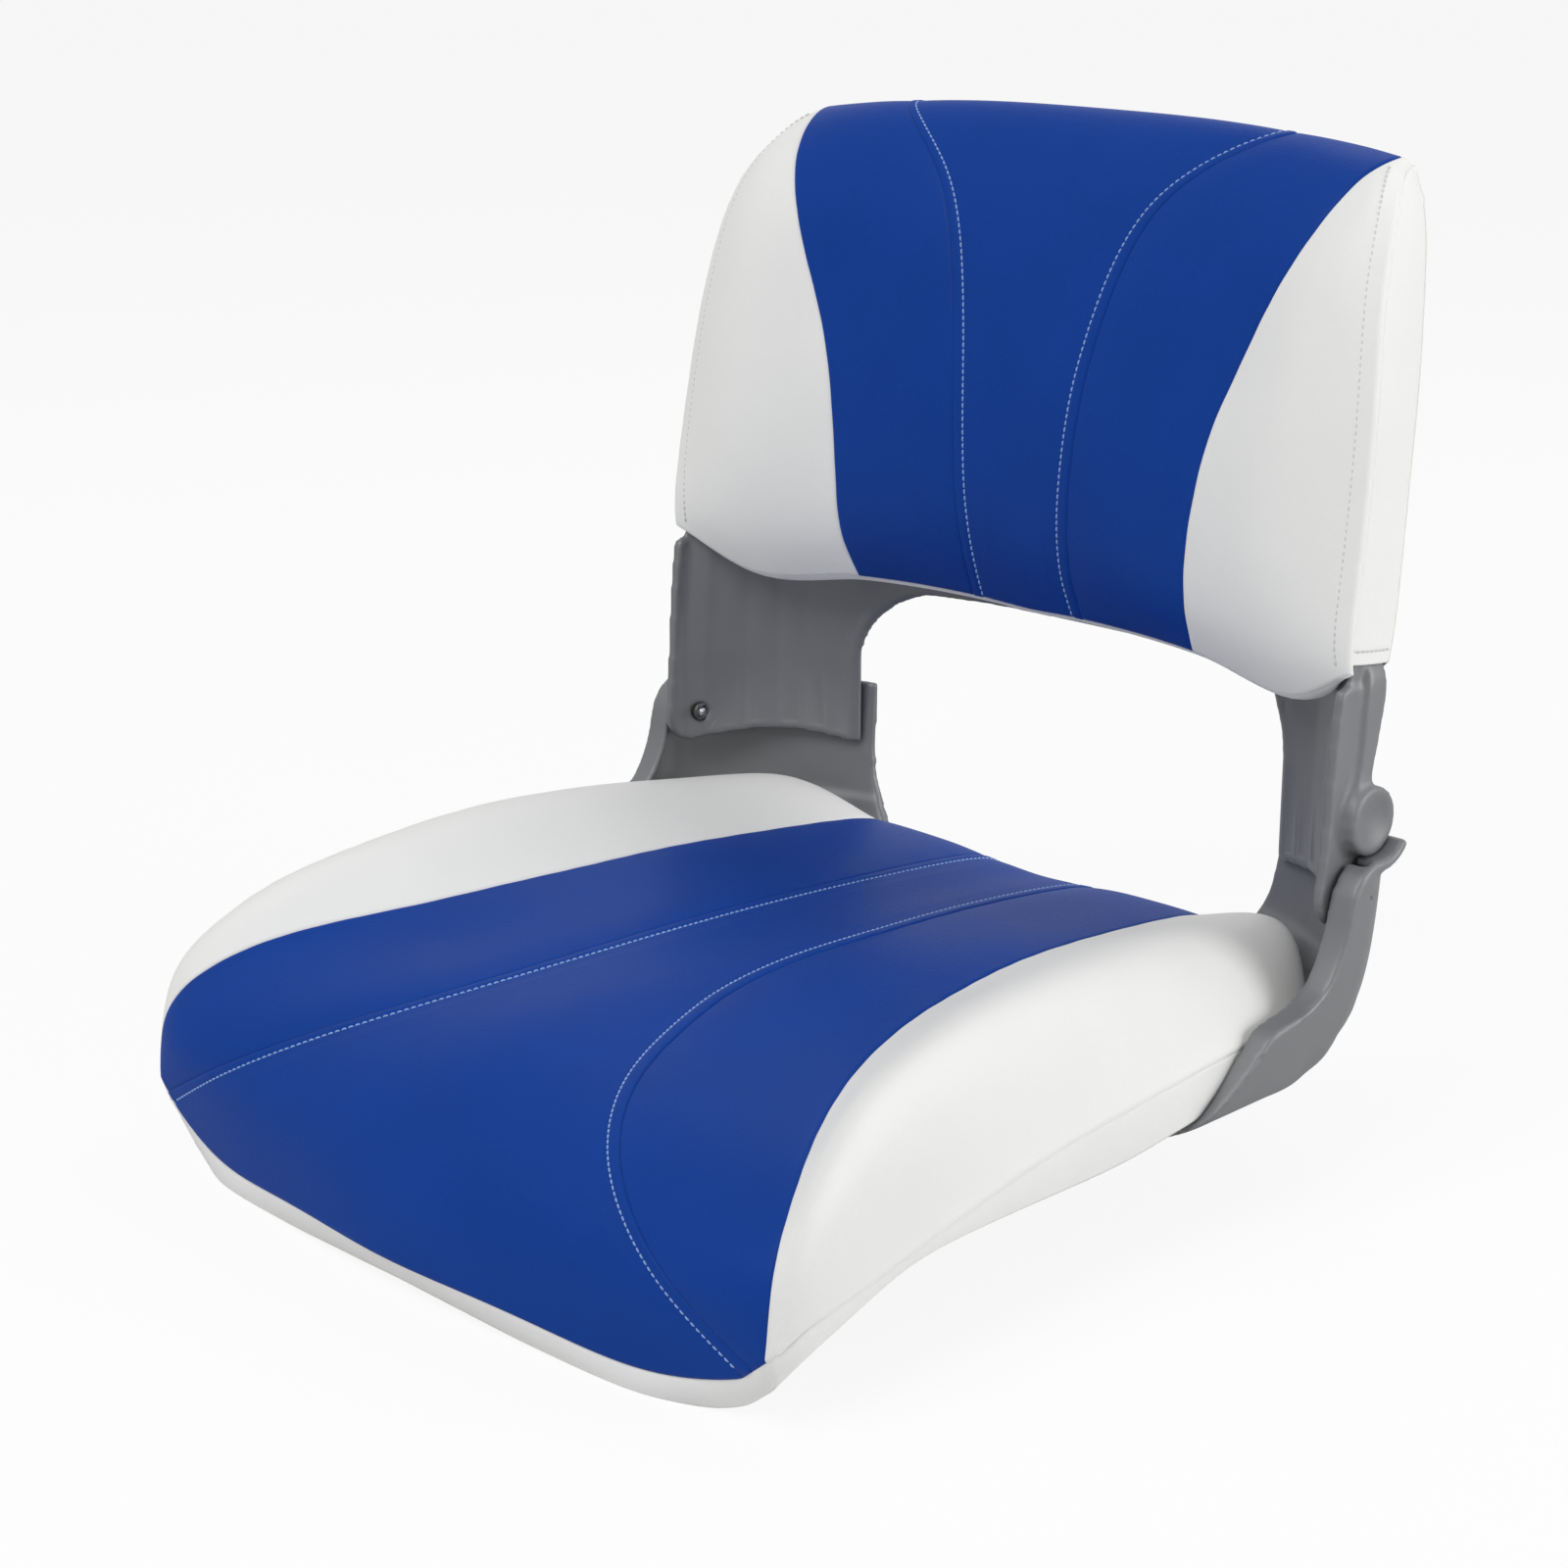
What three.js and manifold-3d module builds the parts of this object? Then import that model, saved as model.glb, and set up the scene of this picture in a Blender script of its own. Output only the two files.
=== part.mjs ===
// Folding boat seat: a moulded pan with two ears, a back shell that folds forward
// between the ears, and two vinyl cushions. Millimetres, +Z up, front towards -Y.
// The origin is the middle of the pan's underside, where a pedestal bolts on.

import * as THREE from "three";
import { mergeVertices } from "three/addons/utils/BufferGeometryUtils.js";
import Module from "manifold-3d";

const wasm = await Module();
wasm.setup();

// Driving dimensions
const clearance = 0.3;
const cut_overrun = 20;
const ear_half_width = 268;
const ear_height = 184;
const pan_front_reach = 236;
const pan_rear_reach = 254;
const pan_wall = 4;
const pan_rim_height = 59.5;
const pad_half_width = 105;
const ear_flange_width = 16;
const ear_flange_wall = 4;
const ear_inner_edge = 157;
const lip_wall = 5.5;

const pivot_y = 156;
const pivot_z = 164;
const back_fold_radius = 20;
const hinge_side_gap = 1.5;
const hinge_screw_radius = 3;
const hinge_screw_head_radius = 4.6;
const hinge_screw_head_height = 3;
const hinge_bush_wall = 1.2;
const hinge_insert_radius = 5;
const hinge_insert_length = 9;
const hinge_running_clearance = 0.25;
const hinge_boss_wall = 5;
const leg_grip = 14;

const shell_wall = 4;
const shell_flange_wall = 6;
const shell_rear_reach = 258;
const shell_bottom = 143;
const shell_rib_wall = 3;
const leg_inner_edge = 161;
const leg_top = 274;
const leg_window_top = 243;
const leg_window_radius = 42;
const leg_arch_rise = 8;
const lobe_radius = 19;
const lobe_offset_y = 12.5;
const lobe_offset_z = 37;
const lobe_outer_face = 259;

const seat_half_width = 250;
const seat_front_reach = 288;
const seat_height = 122;
const back_half_width = 251;
const back_reach = 256;
const back_top = 545;
const cover_wall = 1.2;
const seam_gap = 0.5;
const corner_gap = 2.4;
const cushion_crown = 3;
const foam_floor = 61;
const sock_rear_gap = 1.6;

const board_half_width = 180;
const board_front = 186;
const board_rear = 160;
const board_corner_radius = 60;
const board_thickness = 8;
const board_screw_half_spacing = 80;
const board_screw_radius = 2.2;
const board_screw_head_radius = 4.5;
const board_screw_head_height = 2.6;
const board_screw_bite = 6.5;
const board_post_radius = 9;
const board_post_recess = 27;

const mount_half_spacing = 63.5;
const mount_nut_radius = 4;
const mount_nut_flange_radius = 9.5;
const mount_nut_flange_wall = 1.4;
const mount_thread_radius = 2.6;

// Sampling counts
const round_steps = 16;
const turned_steps = 12;
const pan_front_steps = 4;
const pan_corner_steps = 8;
const pan_side_steps = 3;
const pan_rear_steps = 12;
const shell_steps = 18;
const cushion_length_steps = 14;
const centre_panel_steps = 6;
const blue_panel_steps = 3;
const white_panel_steps = 4;

// Finishes
const vinyl_blue = { color: 0x17408f, roughness: 0.5, metalness: 0 };
const vinyl_white = { color: 0xe8e8e6, roughness: 0.5, metalness: 0 };
const grey_plastic = { color: 0x66676b, roughness: 0.6, metalness: 0 };
const foam_finish = { color: 0xd9cfa6, roughness: 0.95, metalness: 0 };
const board_finish = { color: 0xb58c5a, roughness: 0.8, metalness: 0 };
const steel_finish = { color: 0xb9bbbd, roughness: 0.35, metalness: 1 };
const brass_finish = { color: 0xb5923f, roughness: 0.4, metalness: 1 };

const part = new THREE.Group();

function add(name, geometry, finish) {
  const mesh = new THREE.Mesh(geometry, new THREE.MeshStandardMaterial(finish));
  mesh.name = name;
  part.add(mesh);
}

// Solids

function solid(geometry) {
  const bare = geometry.clone();
  bare.deleteAttribute("normal");
  bare.deleteAttribute("uv");
  const merged = mergeVertices(bare, 1e-4);
  const mesh = new wasm.Mesh({
    numProp: 3,
    vertProperties: new Float32Array(merged.attributes.position.array),
    triVerts: new Uint32Array(merged.index.array),
  });
  return new wasm.Manifold(mesh);
}

function geometry_of(body) {
  const mesh = body.getMesh();
  const geometry = new THREE.BufferGeometry();
  geometry.setAttribute("position", new THREE.BufferAttribute(mesh.vertProperties, 3));
  geometry.setIndex(new THREE.BufferAttribute(mesh.triVerts, 1));
  geometry.computeVertexNormals();
  return geometry;
}

// A closed body from points and faces, turned right side out if it encloses less than nothing.
function indexed(points, faces) {
  let volume = 0;
  for (let i = 0; i < faces.length; i += 3) {
    const [a, b, c] = [points[faces[i]], points[faces[i + 1]], points[faces[i + 2]]];
    volume += a.dot(b.clone().cross(c));
  }
  const geometry = new THREE.BufferGeometry().setFromPoints(points);
  geometry.setIndex(volume < 0 ? faces.reverse() : faces);
  geometry.computeVertexNormals();
  return geometry;
}

// A closed solid between two grids of points, the first one on the outside.
function slab(outer, inner) {
  const rows = outer.length;
  const columns = outer[0].length;
  const points = [...outer.flat(), ...inner.flat()];
  const faces = [];
  const at = (layer, row, column) => layer * rows * columns + row * columns + column;
  const quad = (a, b, c, d) => faces.push(a, b, c, a, c, d);
  for (let row = 0; row + 1 < rows; row += 1) {
    for (let column = 0; column + 1 < columns; column += 1) {
      quad(at(0, row, column), at(0, row, column + 1), at(0, row + 1, column + 1), at(0, row + 1, column));
      quad(at(1, row, column), at(1, row + 1, column), at(1, row + 1, column + 1), at(1, row, column + 1));
    }
  }
  for (let row = 0; row + 1 < rows; row += 1) {
    quad(at(0, row, 0), at(0, row + 1, 0), at(1, row + 1, 0), at(1, row, 0));
    const last = columns - 1;
    quad(at(0, row + 1, last), at(0, row, last), at(1, row, last), at(1, row + 1, last));
  }
  for (let column = 0; column + 1 < columns; column += 1) {
    quad(at(0, 0, column + 1), at(0, 0, column), at(1, 0, column), at(1, 0, column + 1));
    const last = rows - 1;
    quad(at(0, last, column), at(0, last, column + 1), at(1, last, column + 1), at(1, last, column));
  }
  return indexed(points, faces);
}

// A closed solid through a stack of closed outlines, each with the same count of points.
function stack(outlines) {
  const count = outlines[0].length;
  const last = outlines.length - 1;
  const points = outlines.flat();
  const faces = [];
  for (let level = 0; level < last; level += 1) {
    for (let i = 0; i < count; i += 1) {
      const a = level * count + i;
      const b = level * count + ((i + 1) % count);
      faces.push(a, b, b + count, a, b + count, a + count);
    }
  }
  const flat = (outline) => outline.map((p) => new THREE.Vector2(p.x, p.y));
  for (const [a, b, c] of THREE.ShapeUtils.triangulateShape(flat(outlines[0]), [])) {
    faces.push(a, c, b);
  }
  for (const [a, b, c] of THREE.ShapeUtils.triangulateShape(flat(outlines[last]), [])) {
    faces.push(last * count + a, last * count + b, last * count + c);
  }
  return indexed(points, faces);
}

// Prisms: an outline in two axes, carried along the third from low to high.
function prism(shape, low, high, basis_x, basis_y) {
  const geometry = new THREE.ExtrudeGeometry(shape, {
    depth: high - low,
    bevelEnabled: false,
    curveSegments: round_steps / 2,
  });
  const along = new THREE.Vector3().crossVectors(basis_x, basis_y);
  const start = along.x + along.y + along.z > 0 ? low : -high;
  geometry.applyMatrix4(new THREE.Matrix4().makeTranslation(0, 0, start));
  geometry.applyMatrix4(new THREE.Matrix4().makeBasis(basis_x, basis_y, along));
  return solid(geometry);
}

const axis_x = new THREE.Vector3(1, 0, 0);
const axis_y = new THREE.Vector3(0, 1, 0);
const axis_z = new THREE.Vector3(0, 0, 1);

const prism_along_x = (shape, low, high) => prism(shape, low, high, axis_y, axis_z);
const prism_along_y = (shape, low, high) => prism(shape, low, high, axis_x, axis_z);
const prism_along_z = (shape, low, high) => prism(shape, low, high, axis_x, axis_y);

const shape_of = (pairs) => new THREE.Shape(pairs.map(([a, b]) => new THREE.Vector2(a, b)));

function disc(radius, centre_a = 0, centre_b = 0) {
  const shape = new THREE.Shape();
  shape.absarc(centre_a, centre_b, radius, 0, 2 * Math.PI);
  return shape;
}

// A turned part: a closed profile of radius and height, spun about Z.
function turned(profile) {
  const points = profile.map(([radius, height]) => new THREE.Vector2(radius, height));
  return new THREE.LatheGeometry([...points, points[0]], turned_steps).rotateX(Math.PI / 2);
}

// Rods along X on the right side of the seat, and their mirror images.
const rod_along_x = (radius, low, high, y, z) => prism_along_x(disc(radius, y, z), low, high);
const both_sides = (body) => body.add(body.mirror([1, 0, 0]));
const side_names = [["left", 1], ["right", -1]];

function add_on_side(name, body, side, finish) {
  add(name, geometry_of(side > 0 ? body : body.mirror([1, 0, 0])), finish);
}

// Pan outline at one level: front edge, front corner, side, and the curved rear, whose
// curve is shaped by these shares of its corner's depth and of its half width.
const pan_bend_share = 0.1;
const pan_rear_flat_share = 0.68;

function pan_outline(level, inset, lift) {
  const half = level.half_width - inset;
  const front = level.front - inset;
  const corner = level.corner - inset;
  const rear = level.rear - inset;
  const radius = level.front_radius - inset;
  const z = level.z + lift;
  const right = [];
  for (let i = 0; i < pan_front_steps; i += 1) {
    right.push([(half - radius) * (i / pan_front_steps), -front]);
  }
  for (let i = 0; i < pan_corner_steps; i += 1) {
    const turn = (i / pan_corner_steps) * (Math.PI / 2);
    right.push([half - radius + radius * Math.sin(turn), -front + radius * (1 - Math.cos(turn))]);
  }
  const bend = corner * pan_bend_share;
  for (let i = 0; i < pan_side_steps; i += 1) {
    const low = -front + radius;
    right.push([half, low + (corner - bend - low) * (i / pan_side_steps)]);
  }
  const rear_curve = new THREE.CubicBezierCurve(
    new THREE.Vector2(half, corner - bend),
    new THREE.Vector2(half, corner + bend),
    new THREE.Vector2(half * pan_rear_flat_share, rear),
    new THREE.Vector2(0, rear),
  );
  for (const p of rear_curve.getPoints(pan_rear_steps)) {
    right.push([p.x, p.y]);
  }
  const left = right.slice(1, -1).reverse().map(([x, y]) => [-x, y]);
  return [...right, ...left].map(([x, y]) => new THREE.Vector3(x, y, z));
}

// Shares of ear_height, ear_half_width, pan_front_reach, pan_rear_reach for the
// heights, half widths, front edges, rear corners and rear middles of the pan.
const pan_level_shares = [
  [0, 0.392, 0.445, 0.295, 0.413],
  [0.033, 0.425, 0.483, 0.323, 0.449],
  [0.109, 0.545, 0.636, 0.386, 0.551],
  [0.217, 0.716, 0.826, 0.441, 0.709],
  [0.315, 0.873, 0.983, 0.449, 0.843],
  [0.348, 0.951, 1, 0.433, 0.882],
  [0.402, 0.97, 1, 0.496, 0.921],
  [0.489, 0.985, 1, 0.595, 0.957],
  [0.598, 0.996, 1, 0.646, 0.98],
  [0.761, 1, 1, 0.669, 0.992],
  [1.1, 1, 1, 0.689, 1],
];
const pan_front_radius_share = 0.3;

function pan_body(inset, lift) {
  const levels = pan_level_shares.map(([z, half, front, corner, rear]) => ({
    z: z * ear_height,
    half_width: half * ear_half_width,
    front: front * pan_front_reach,
    corner: corner * pan_rear_reach,
    rear: rear * pan_rear_reach,
    front_radius: half * ear_half_width * pan_front_radius_share,
  }));
  return solid(stack(levels.map((level) => pan_outline(level, inset, lift))));
}

// Side view of the ear's front edge, as shares of pan_rear_reach and ear_height.
const ear_edge_shares = [
  [0.114, 0.326],
  [0.268, 0.533],
  [0.323, 0.592],
  [0.394, 0.609],
  [0.441, 0.628],
  [0.483, 0.663],
  [0.508, 0.707],
  [0.527, 0.755],
  [0.541, 0.808],
  [0.55, 0.861],
  [0.561, 0.913],
  [0.585, 0.96],
  [0.614, 0.984],
];

const ear_edge = ear_edge_shares.map(([y, z]) => [y * pan_rear_reach, z * ear_height]);

function pan_side_outline() {
  const front = -pan_front_reach - cut_overrun;
  const rear = pan_rear_reach + cut_overrun;
  const rim_start = ear_edge[0][0] - ear_flange_wall;
  return shape_of([
    [front, -cut_overrun],
    [rear, -cut_overrun],
    [rear, ear_height],
    [pivot_y + lobe_offset_y, ear_height],
    ...[...ear_edge].reverse(),
    [rim_start, pan_rim_height],
    [front, pan_rim_height],
  ]);
}

// Rear view of the space between the ears, as shares of ear_inner_edge and ear_height.
const ear_gap_shares = [
  [0.62, 0.402],
  [0.79, 0.446],
  [0.88, 0.516],
  [0.94, 0.592],
  [0.98, 0.674],
  [1, 0.772],
];

function ear_gap_outline() {
  const right = ear_gap_shares.map(([x, z]) => [x * ear_inner_edge, z * ear_height]);
  const top = [ear_inner_edge, ear_height + cut_overrun];
  const half = [...right, top];
  return shape_of([...half, ...[...half].reverse().map(([x, z]) => [-x, z])]);
}

// A strip of even width that follows a line of points, on its right-hand side.
function strip(points, width) {
  const inner = points.map(([a, b], i) => {
    const [a0, b0] = points[Math.max(i - 1, 0)];
    const [a1, b1] = points[Math.min(i + 1, points.length - 1)];
    const length = Math.hypot(a1 - a0, b1 - b0);
    return [a + (width * (b1 - b0)) / length, b - (width * (a1 - a0)) / length];
  });
  return shape_of([...points, ...inner.reverse()]);
}

// The cup under the lobe of the back: a ring sector round the lobe's centre.
const lobe_y = pivot_y + lobe_offset_y;
const lobe_z = pivot_z + lobe_offset_z;
const lip_start_turn = -0.58 * Math.PI;
const lip_end_turn = -0.22 * Math.PI;

function lip_shape() {
  const inner = lobe_radius + clearance;
  const outer = inner + lip_wall;
  const shape = new THREE.Shape();
  shape.absarc(lobe_y, lobe_z, inner, lip_start_turn, lip_end_turn, false);
  const tip_y = lobe_y + (inner + lip_wall / 2) * Math.cos(lip_end_turn);
  const tip_z = lobe_z + (inner + lip_wall / 2) * Math.sin(lip_end_turn);
  shape.absarc(tip_y, tip_z, lip_wall / 2, lip_end_turn - Math.PI, lip_end_turn, true);
  shape.absarc(lobe_y, lobe_z, outer, lip_end_turn, lip_start_turn, true);
  return shape;
}

const flange_inner_face = ear_half_width - ear_flange_width;
const leg_outer_face = flange_inner_face - hinge_side_gap;
const hinge_hole_radius = hinge_screw_radius + hinge_bush_wall + hinge_running_clearance;
const hinge_boss_radius = hinge_insert_radius + hinge_boss_wall;
const mount_hole_radius = mount_nut_radius + clearance;

function pan() {
  const outside = pan_body(0, 0);
  const keep = prism_along_x(pan_side_outline(), -ear_half_width, ear_half_width);
  const gap = prism_along_y(ear_gap_outline(), pad_half_width, pan_rear_reach + cut_overrun);
  let body = outside.subtract(pan_body(pan_wall, pan_wall)).intersect(keep).subtract(gap);
  const flange = prism_along_x(strip(ear_edge, ear_flange_wall), flange_inner_face, ear_half_width);
  body = body.add(both_sides(flange).intersect(outside));
  const lip = prism_along_x(lip_shape(), flange_inner_face, ear_half_width);
  body = body.add(both_sides(lip));
  const lobe_room = lobe_radius + clearance;
  const room = rod_along_x(lobe_room, leg_inner_edge, ear_half_width + cut_overrun, lobe_y, lobe_z);
  body = body.subtract(both_sides(room));
  const boss_end = ear_half_width - pan_wall / 2;
  const boss = rod_along_x(hinge_boss_radius, flange_inner_face, boss_end, pivot_y, pivot_z);
  body = body.add(both_sides(boss));
  const post_top = board_bottom - clearance;
  for (const [x, y] of board_screw_places) {
    const post = prism_along_z(disc(board_post_radius, x, y), pan_wall / 2, post_top);
    body = body.add(post);
  }
  for (const [x, y] of board_screw_places) {
    const recess_radius = board_screw_head_radius + clearance;
    const recess = prism_along_z(disc(recess_radius, x, y), -cut_overrun, board_post_recess);
    const hole = prism_along_z(disc(board_screw_radius + clearance, x, y), 0, post_top + cut_overrun);
    body = body.subtract(recess).subtract(hole);
  }
  for (const [x, y] of mount_places) {
    body = body.subtract(prism_along_z(disc(mount_hole_radius, x, y), -cut_overrun, pan_wall + cut_overrun));
  }
  const insert_hole = hinge_insert_radius + clearance;
  const insert_end = hinge_insert_start + hinge_insert_length + clearance;
  const socket = rod_along_x(insert_hole, flange_inner_face - cut_overrun, insert_end, pivot_y, pivot_z);
  const eye_radius = hinge_screw_radius - hinge_bush_wall;
  const eye = rod_along_x(eye_radius, flange_inner_face, ear_half_width + cut_overrun, pivot_y, pivot_z);
  return body.subtract(both_sides(socket)).subtract(both_sides(eye));
}

const corners = [[1, 1], [-1, 1], [-1, -1], [1, -1]];
const mount_places = corners.map(([a, b]) => [a * mount_half_spacing, b * mount_half_spacing]);
const board_screw_places = corners.map(([a, b]) => [
  a * board_screw_half_spacing,
  b * board_screw_half_spacing,
]);
const board_top = foam_floor - 2 * clearance;
const board_bottom = board_top - board_thickness;
const hinge_insert_start = flange_inner_face + clearance;

add("seat_shell", geometry_of(pan()), grey_plastic);

// Threaded inserts under the pan, where the pedestal's four bolts go in.
function mount_nut() {
  const top = pan_wall + clearance + mount_nut_flange_wall;
  return turned([
    [mount_thread_radius, clearance],
    [mount_nut_radius, clearance],
    [mount_nut_radius, pan_wall + clearance],
    [mount_nut_flange_radius, pan_wall + clearance],
    [mount_nut_flange_radius, top],
    [mount_thread_radius, top],
  ]);
}

mount_places.forEach(([x, y], i) => {
  add(`mount_nut_${i + 1}`, mount_nut().translate(x, y, 0), steel_finish);
});

// Cushion base board and the screws that hold it down on the pan's posts.
function rounded_rectangle(half, front, rear, radius) {
  const shape = new THREE.Shape();
  shape.absarc(half - radius, -front + radius, radius, -Math.PI / 2, 0);
  shape.absarc(half - radius, rear - radius, radius, 0, Math.PI / 2);
  shape.absarc(-half + radius, rear - radius, radius, Math.PI / 2, Math.PI);
  shape.absarc(-half + radius, -front + radius, radius, Math.PI, 1.5 * Math.PI);
  return shape;
}

function board() {
  const outline = rounded_rectangle(board_half_width, board_front, board_rear, board_corner_radius);
  let body = prism_along_z(outline, board_bottom, board_top);
  const pilot_top = board_bottom + board_screw_bite + clearance;
  for (const [x, y] of board_screw_places) {
    const pilot = prism_along_z(disc(board_screw_radius + clearance, x, y), 0, pilot_top);
    body = body.subtract(pilot);
  }
  return body;
}

add("seat_board", geometry_of(board()), board_finish);

function board_screw() {
  const head_top = board_post_recess - clearance;
  const head_bottom = head_top - board_screw_head_height;
  return turned([
    [0, head_bottom],
    [board_screw_head_radius, head_bottom],
    [board_screw_head_radius, head_top],
    [board_screw_radius, head_top],
    [board_screw_radius, board_bottom + board_screw_bite],
    [0, board_bottom + board_screw_bite],
  ]);
}

board_screw_places.forEach(([x, y], i) => {
  add(`board_screw_${i + 1}`, board_screw().translate(x, y, 0), steel_finish);
});

// Cushion surfaces. Each line of a cushion runs along its length through points given
// as shares of the cushion's half width, reach and height; the cover's panels lie
// between the lines, and t counts them: 0 middle, 1 stitched seam, 2 edge of the blue,
// 3 side seam, with the crest of the white panel halfway between 2 and 3.
const seat_line_shares = {
  centre: [
    [0, 0.771, 0.623], [0, 0.753, 0.73], [0, 0.694, 0.836], [0, 0.361, 0.926],
    [0, 0.097, 0.967], [0, -0.125, 0.984], [0, -0.33, 0.984], [0, -0.521, 0.967],
    [0, -0.712, 0.902], [0, -0.868, 0.738], [0, -0.965, 0.459], [0, -1, 0.164],
  ],
  stitch: [
    [0.14, 0.767, 0.631], [0.14, 0.747, 0.746], [0.14, 0.688, 0.861], [0.134, 0.358, 0.943],
    [0.142, 0.099, 0.98], [0.146, -0.125, 1], [0.166, -0.309, 0.992], [0.208, -0.465, 0.959],
    [0.3, -0.677, 0.881], [0.46, -0.837, 0.73], [0.676, -0.913, 0.492], [0.896, -0.892, 0.221],
  ],
  edge: [
    [0.504, 0.688, 0.689], [0.508, 0.705, 0.795], [0.506, 0.677, 0.906], [0.518, 0.358, 0.996],
    [0.54, 0.108, 1.041], [0.572, -0.09, 1.041], [0.612, -0.26, 1.033], [0.68, -0.444, 1],
    [0.78, -0.618, 0.951], [0.868, -0.748, 0.852], [0.928, -0.844, 0.664], [0.946, -0.889, 0.311],
  ],
  crest: [
    [0.744, 0.625, 0.803], [0.76, 0.646, 0.918], [0.776, 0.618, 1.025], [0.82, 0.375, 1.098],
    [0.848, 0.156, 1.164], [0.856, -0.069, 1.213], [0.86, -0.243, 1.217], [0.868, -0.424, 1.18],
    [0.888, -0.597, 1.107], [0.924, -0.715, 0.967], [0.96, -0.806, 0.754], [0.964, -0.868, 0.361],
  ],
  seam: [
    [0.904, 0.549, 0.738], [0.944, 0.521, 0.77], [0.972, 0.469, 0.795], [1, 0.347, 0.828],
    [1, 0.174, 0.803], [1, -0.052, 0.758], [1, -0.243, 0.717], [1, -0.417, 0.648],
    [1, -0.59, 0.566], [1, -0.729, 0.496], [0.992, -0.826, 0.443], [0.96, -0.878, 0.328],
  ],
};
const seat_floor_shares = {
  centre: [
    [0, 0.736, 0.582], [0, 0.708, 0.5], [0, 0.66, 0.5], [0, 0.361, 0.5], [0, 0.097, 0.5], [0, -0.125, 0.5],
    [0, -0.33, 0.5], [0, -0.521, 0.5], [0, -0.694, 0.5], [0, -0.823, 0.5], [0, -0.844, 0.246],
    [0, -0.955, 0.02],
  ],
  stitch: [
    [0.14, 0.733, 0.582], [0.14, 0.705, 0.5], [0.14, 0.656, 0.5], [0.134, 0.358, 0.5],
    [0.142, 0.097, 0.5], [0.146, -0.125, 0.5], [0.166, -0.309, 0.5], [0.208, -0.465, 0.5],
    [0.3, -0.66, 0.5], [0.45, -0.792, 0.5], [0.64, -0.826, 0.262], [0.836, -0.862, 0.03],
  ],
  edge: [
    [0.496, 0.66, 0.59], [0.496, 0.618, 0.508], [0.496, 0.59, 0.5], [0.518, 0.358, 0.5],
    [0.54, 0.108, 0.5], [0.572, -0.09, 0.5], [0.612, -0.26, 0.5], [0.672, -0.438, 0.5],
    [0.76, -0.597, 0.5], [0.828, -0.705, 0.492], [0.884, -0.785, 0.369], [0.908, -0.858, 0.13],
  ],
  crest: [
    [0.72, 0.549, 0.656], [0.736, 0.507, 0.574], [0.752, 0.479, 0.541], [0.812, 0.375, 0.516],
    [0.828, 0.156, 0.508], [0.832, -0.069, 0.508], [0.836, -0.243, 0.508], [0.844, -0.417, 0.508],
    [0.86, -0.583, 0.5], [0.888, -0.681, 0.459], [0.92, -0.781, 0.369], [0.92, -0.861, 0.213],
  ],
  seam: [
    [0.888, 0.493, 0.672], [0.928, 0.458, 0.656], [0.96, 0.417, 0.631], [0.996, 0.347, 0.615],
    [0.996, 0.174, 0.582], [0.996, -0.052, 0.525], [0.996, -0.243, 0.525], [0.996, -0.417, 0.529],
    [0.996, -0.59, 0.512], [0.996, -0.722, 0.418], [0.988, -0.833, 0.328], [0.94, -0.889, 0.23],
  ],
};
const back_line_shares = {
  centre: [
    [0, 0.75, 0.488], [0, 0.703, 0.545], [0, 0.684, 0.615], [0, 0.691, 0.706], [0, 0.715, 0.776],
    [0, 0.758, 0.862], [0, 0.801, 0.928], [0, 0.859, 0.978], [0, 0.93, 1],
  ],
  stitch: [
    [0.135, 0.746, 0.49], [0.131, 0.699, 0.545], [0.139, 0.676, 0.615], [0.153, 0.684, 0.706],
    [0.175, 0.707, 0.776], [0.222, 0.746, 0.862], [0.299, 0.789, 0.927], [0.43, 0.844, 0.972],
    [0.53, 0.91, 0.993],
  ],
  edge: [
    [0.502, 0.711, 0.488], [0.514, 0.656, 0.543], [0.522, 0.648, 0.615], [0.554, 0.662, 0.706],
    [0.61, 0.684, 0.776], [0.689, 0.697, 0.857], [0.761, 0.75, 0.925], [0.801, 0.84, 0.967],
    [0.825, 0.922, 0.978],
  ],
  crest: [
    [0.821, 0.648, 0.477], [0.817, 0.594, 0.536], [0.817, 0.578, 0.611], [0.821, 0.598, 0.703],
    [0.825, 0.625, 0.776], [0.833, 0.664, 0.861], [0.849, 0.738, 0.925], [0.841, 0.844, 0.965],
    [0.829, 0.926, 0.976],
  ],
  seam: [
    [1, 0.582, 0.519], [1, 0.578, 0.55], [1, 0.596, 0.606], [0.992, 0.627, 0.695],
    [0.978, 0.656, 0.776], [0.95, 0.701, 0.864], [0.92, 0.77, 0.923], [0.865, 0.867, 0.96],
    [0.833, 0.93, 0.972],
  ],
};

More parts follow.
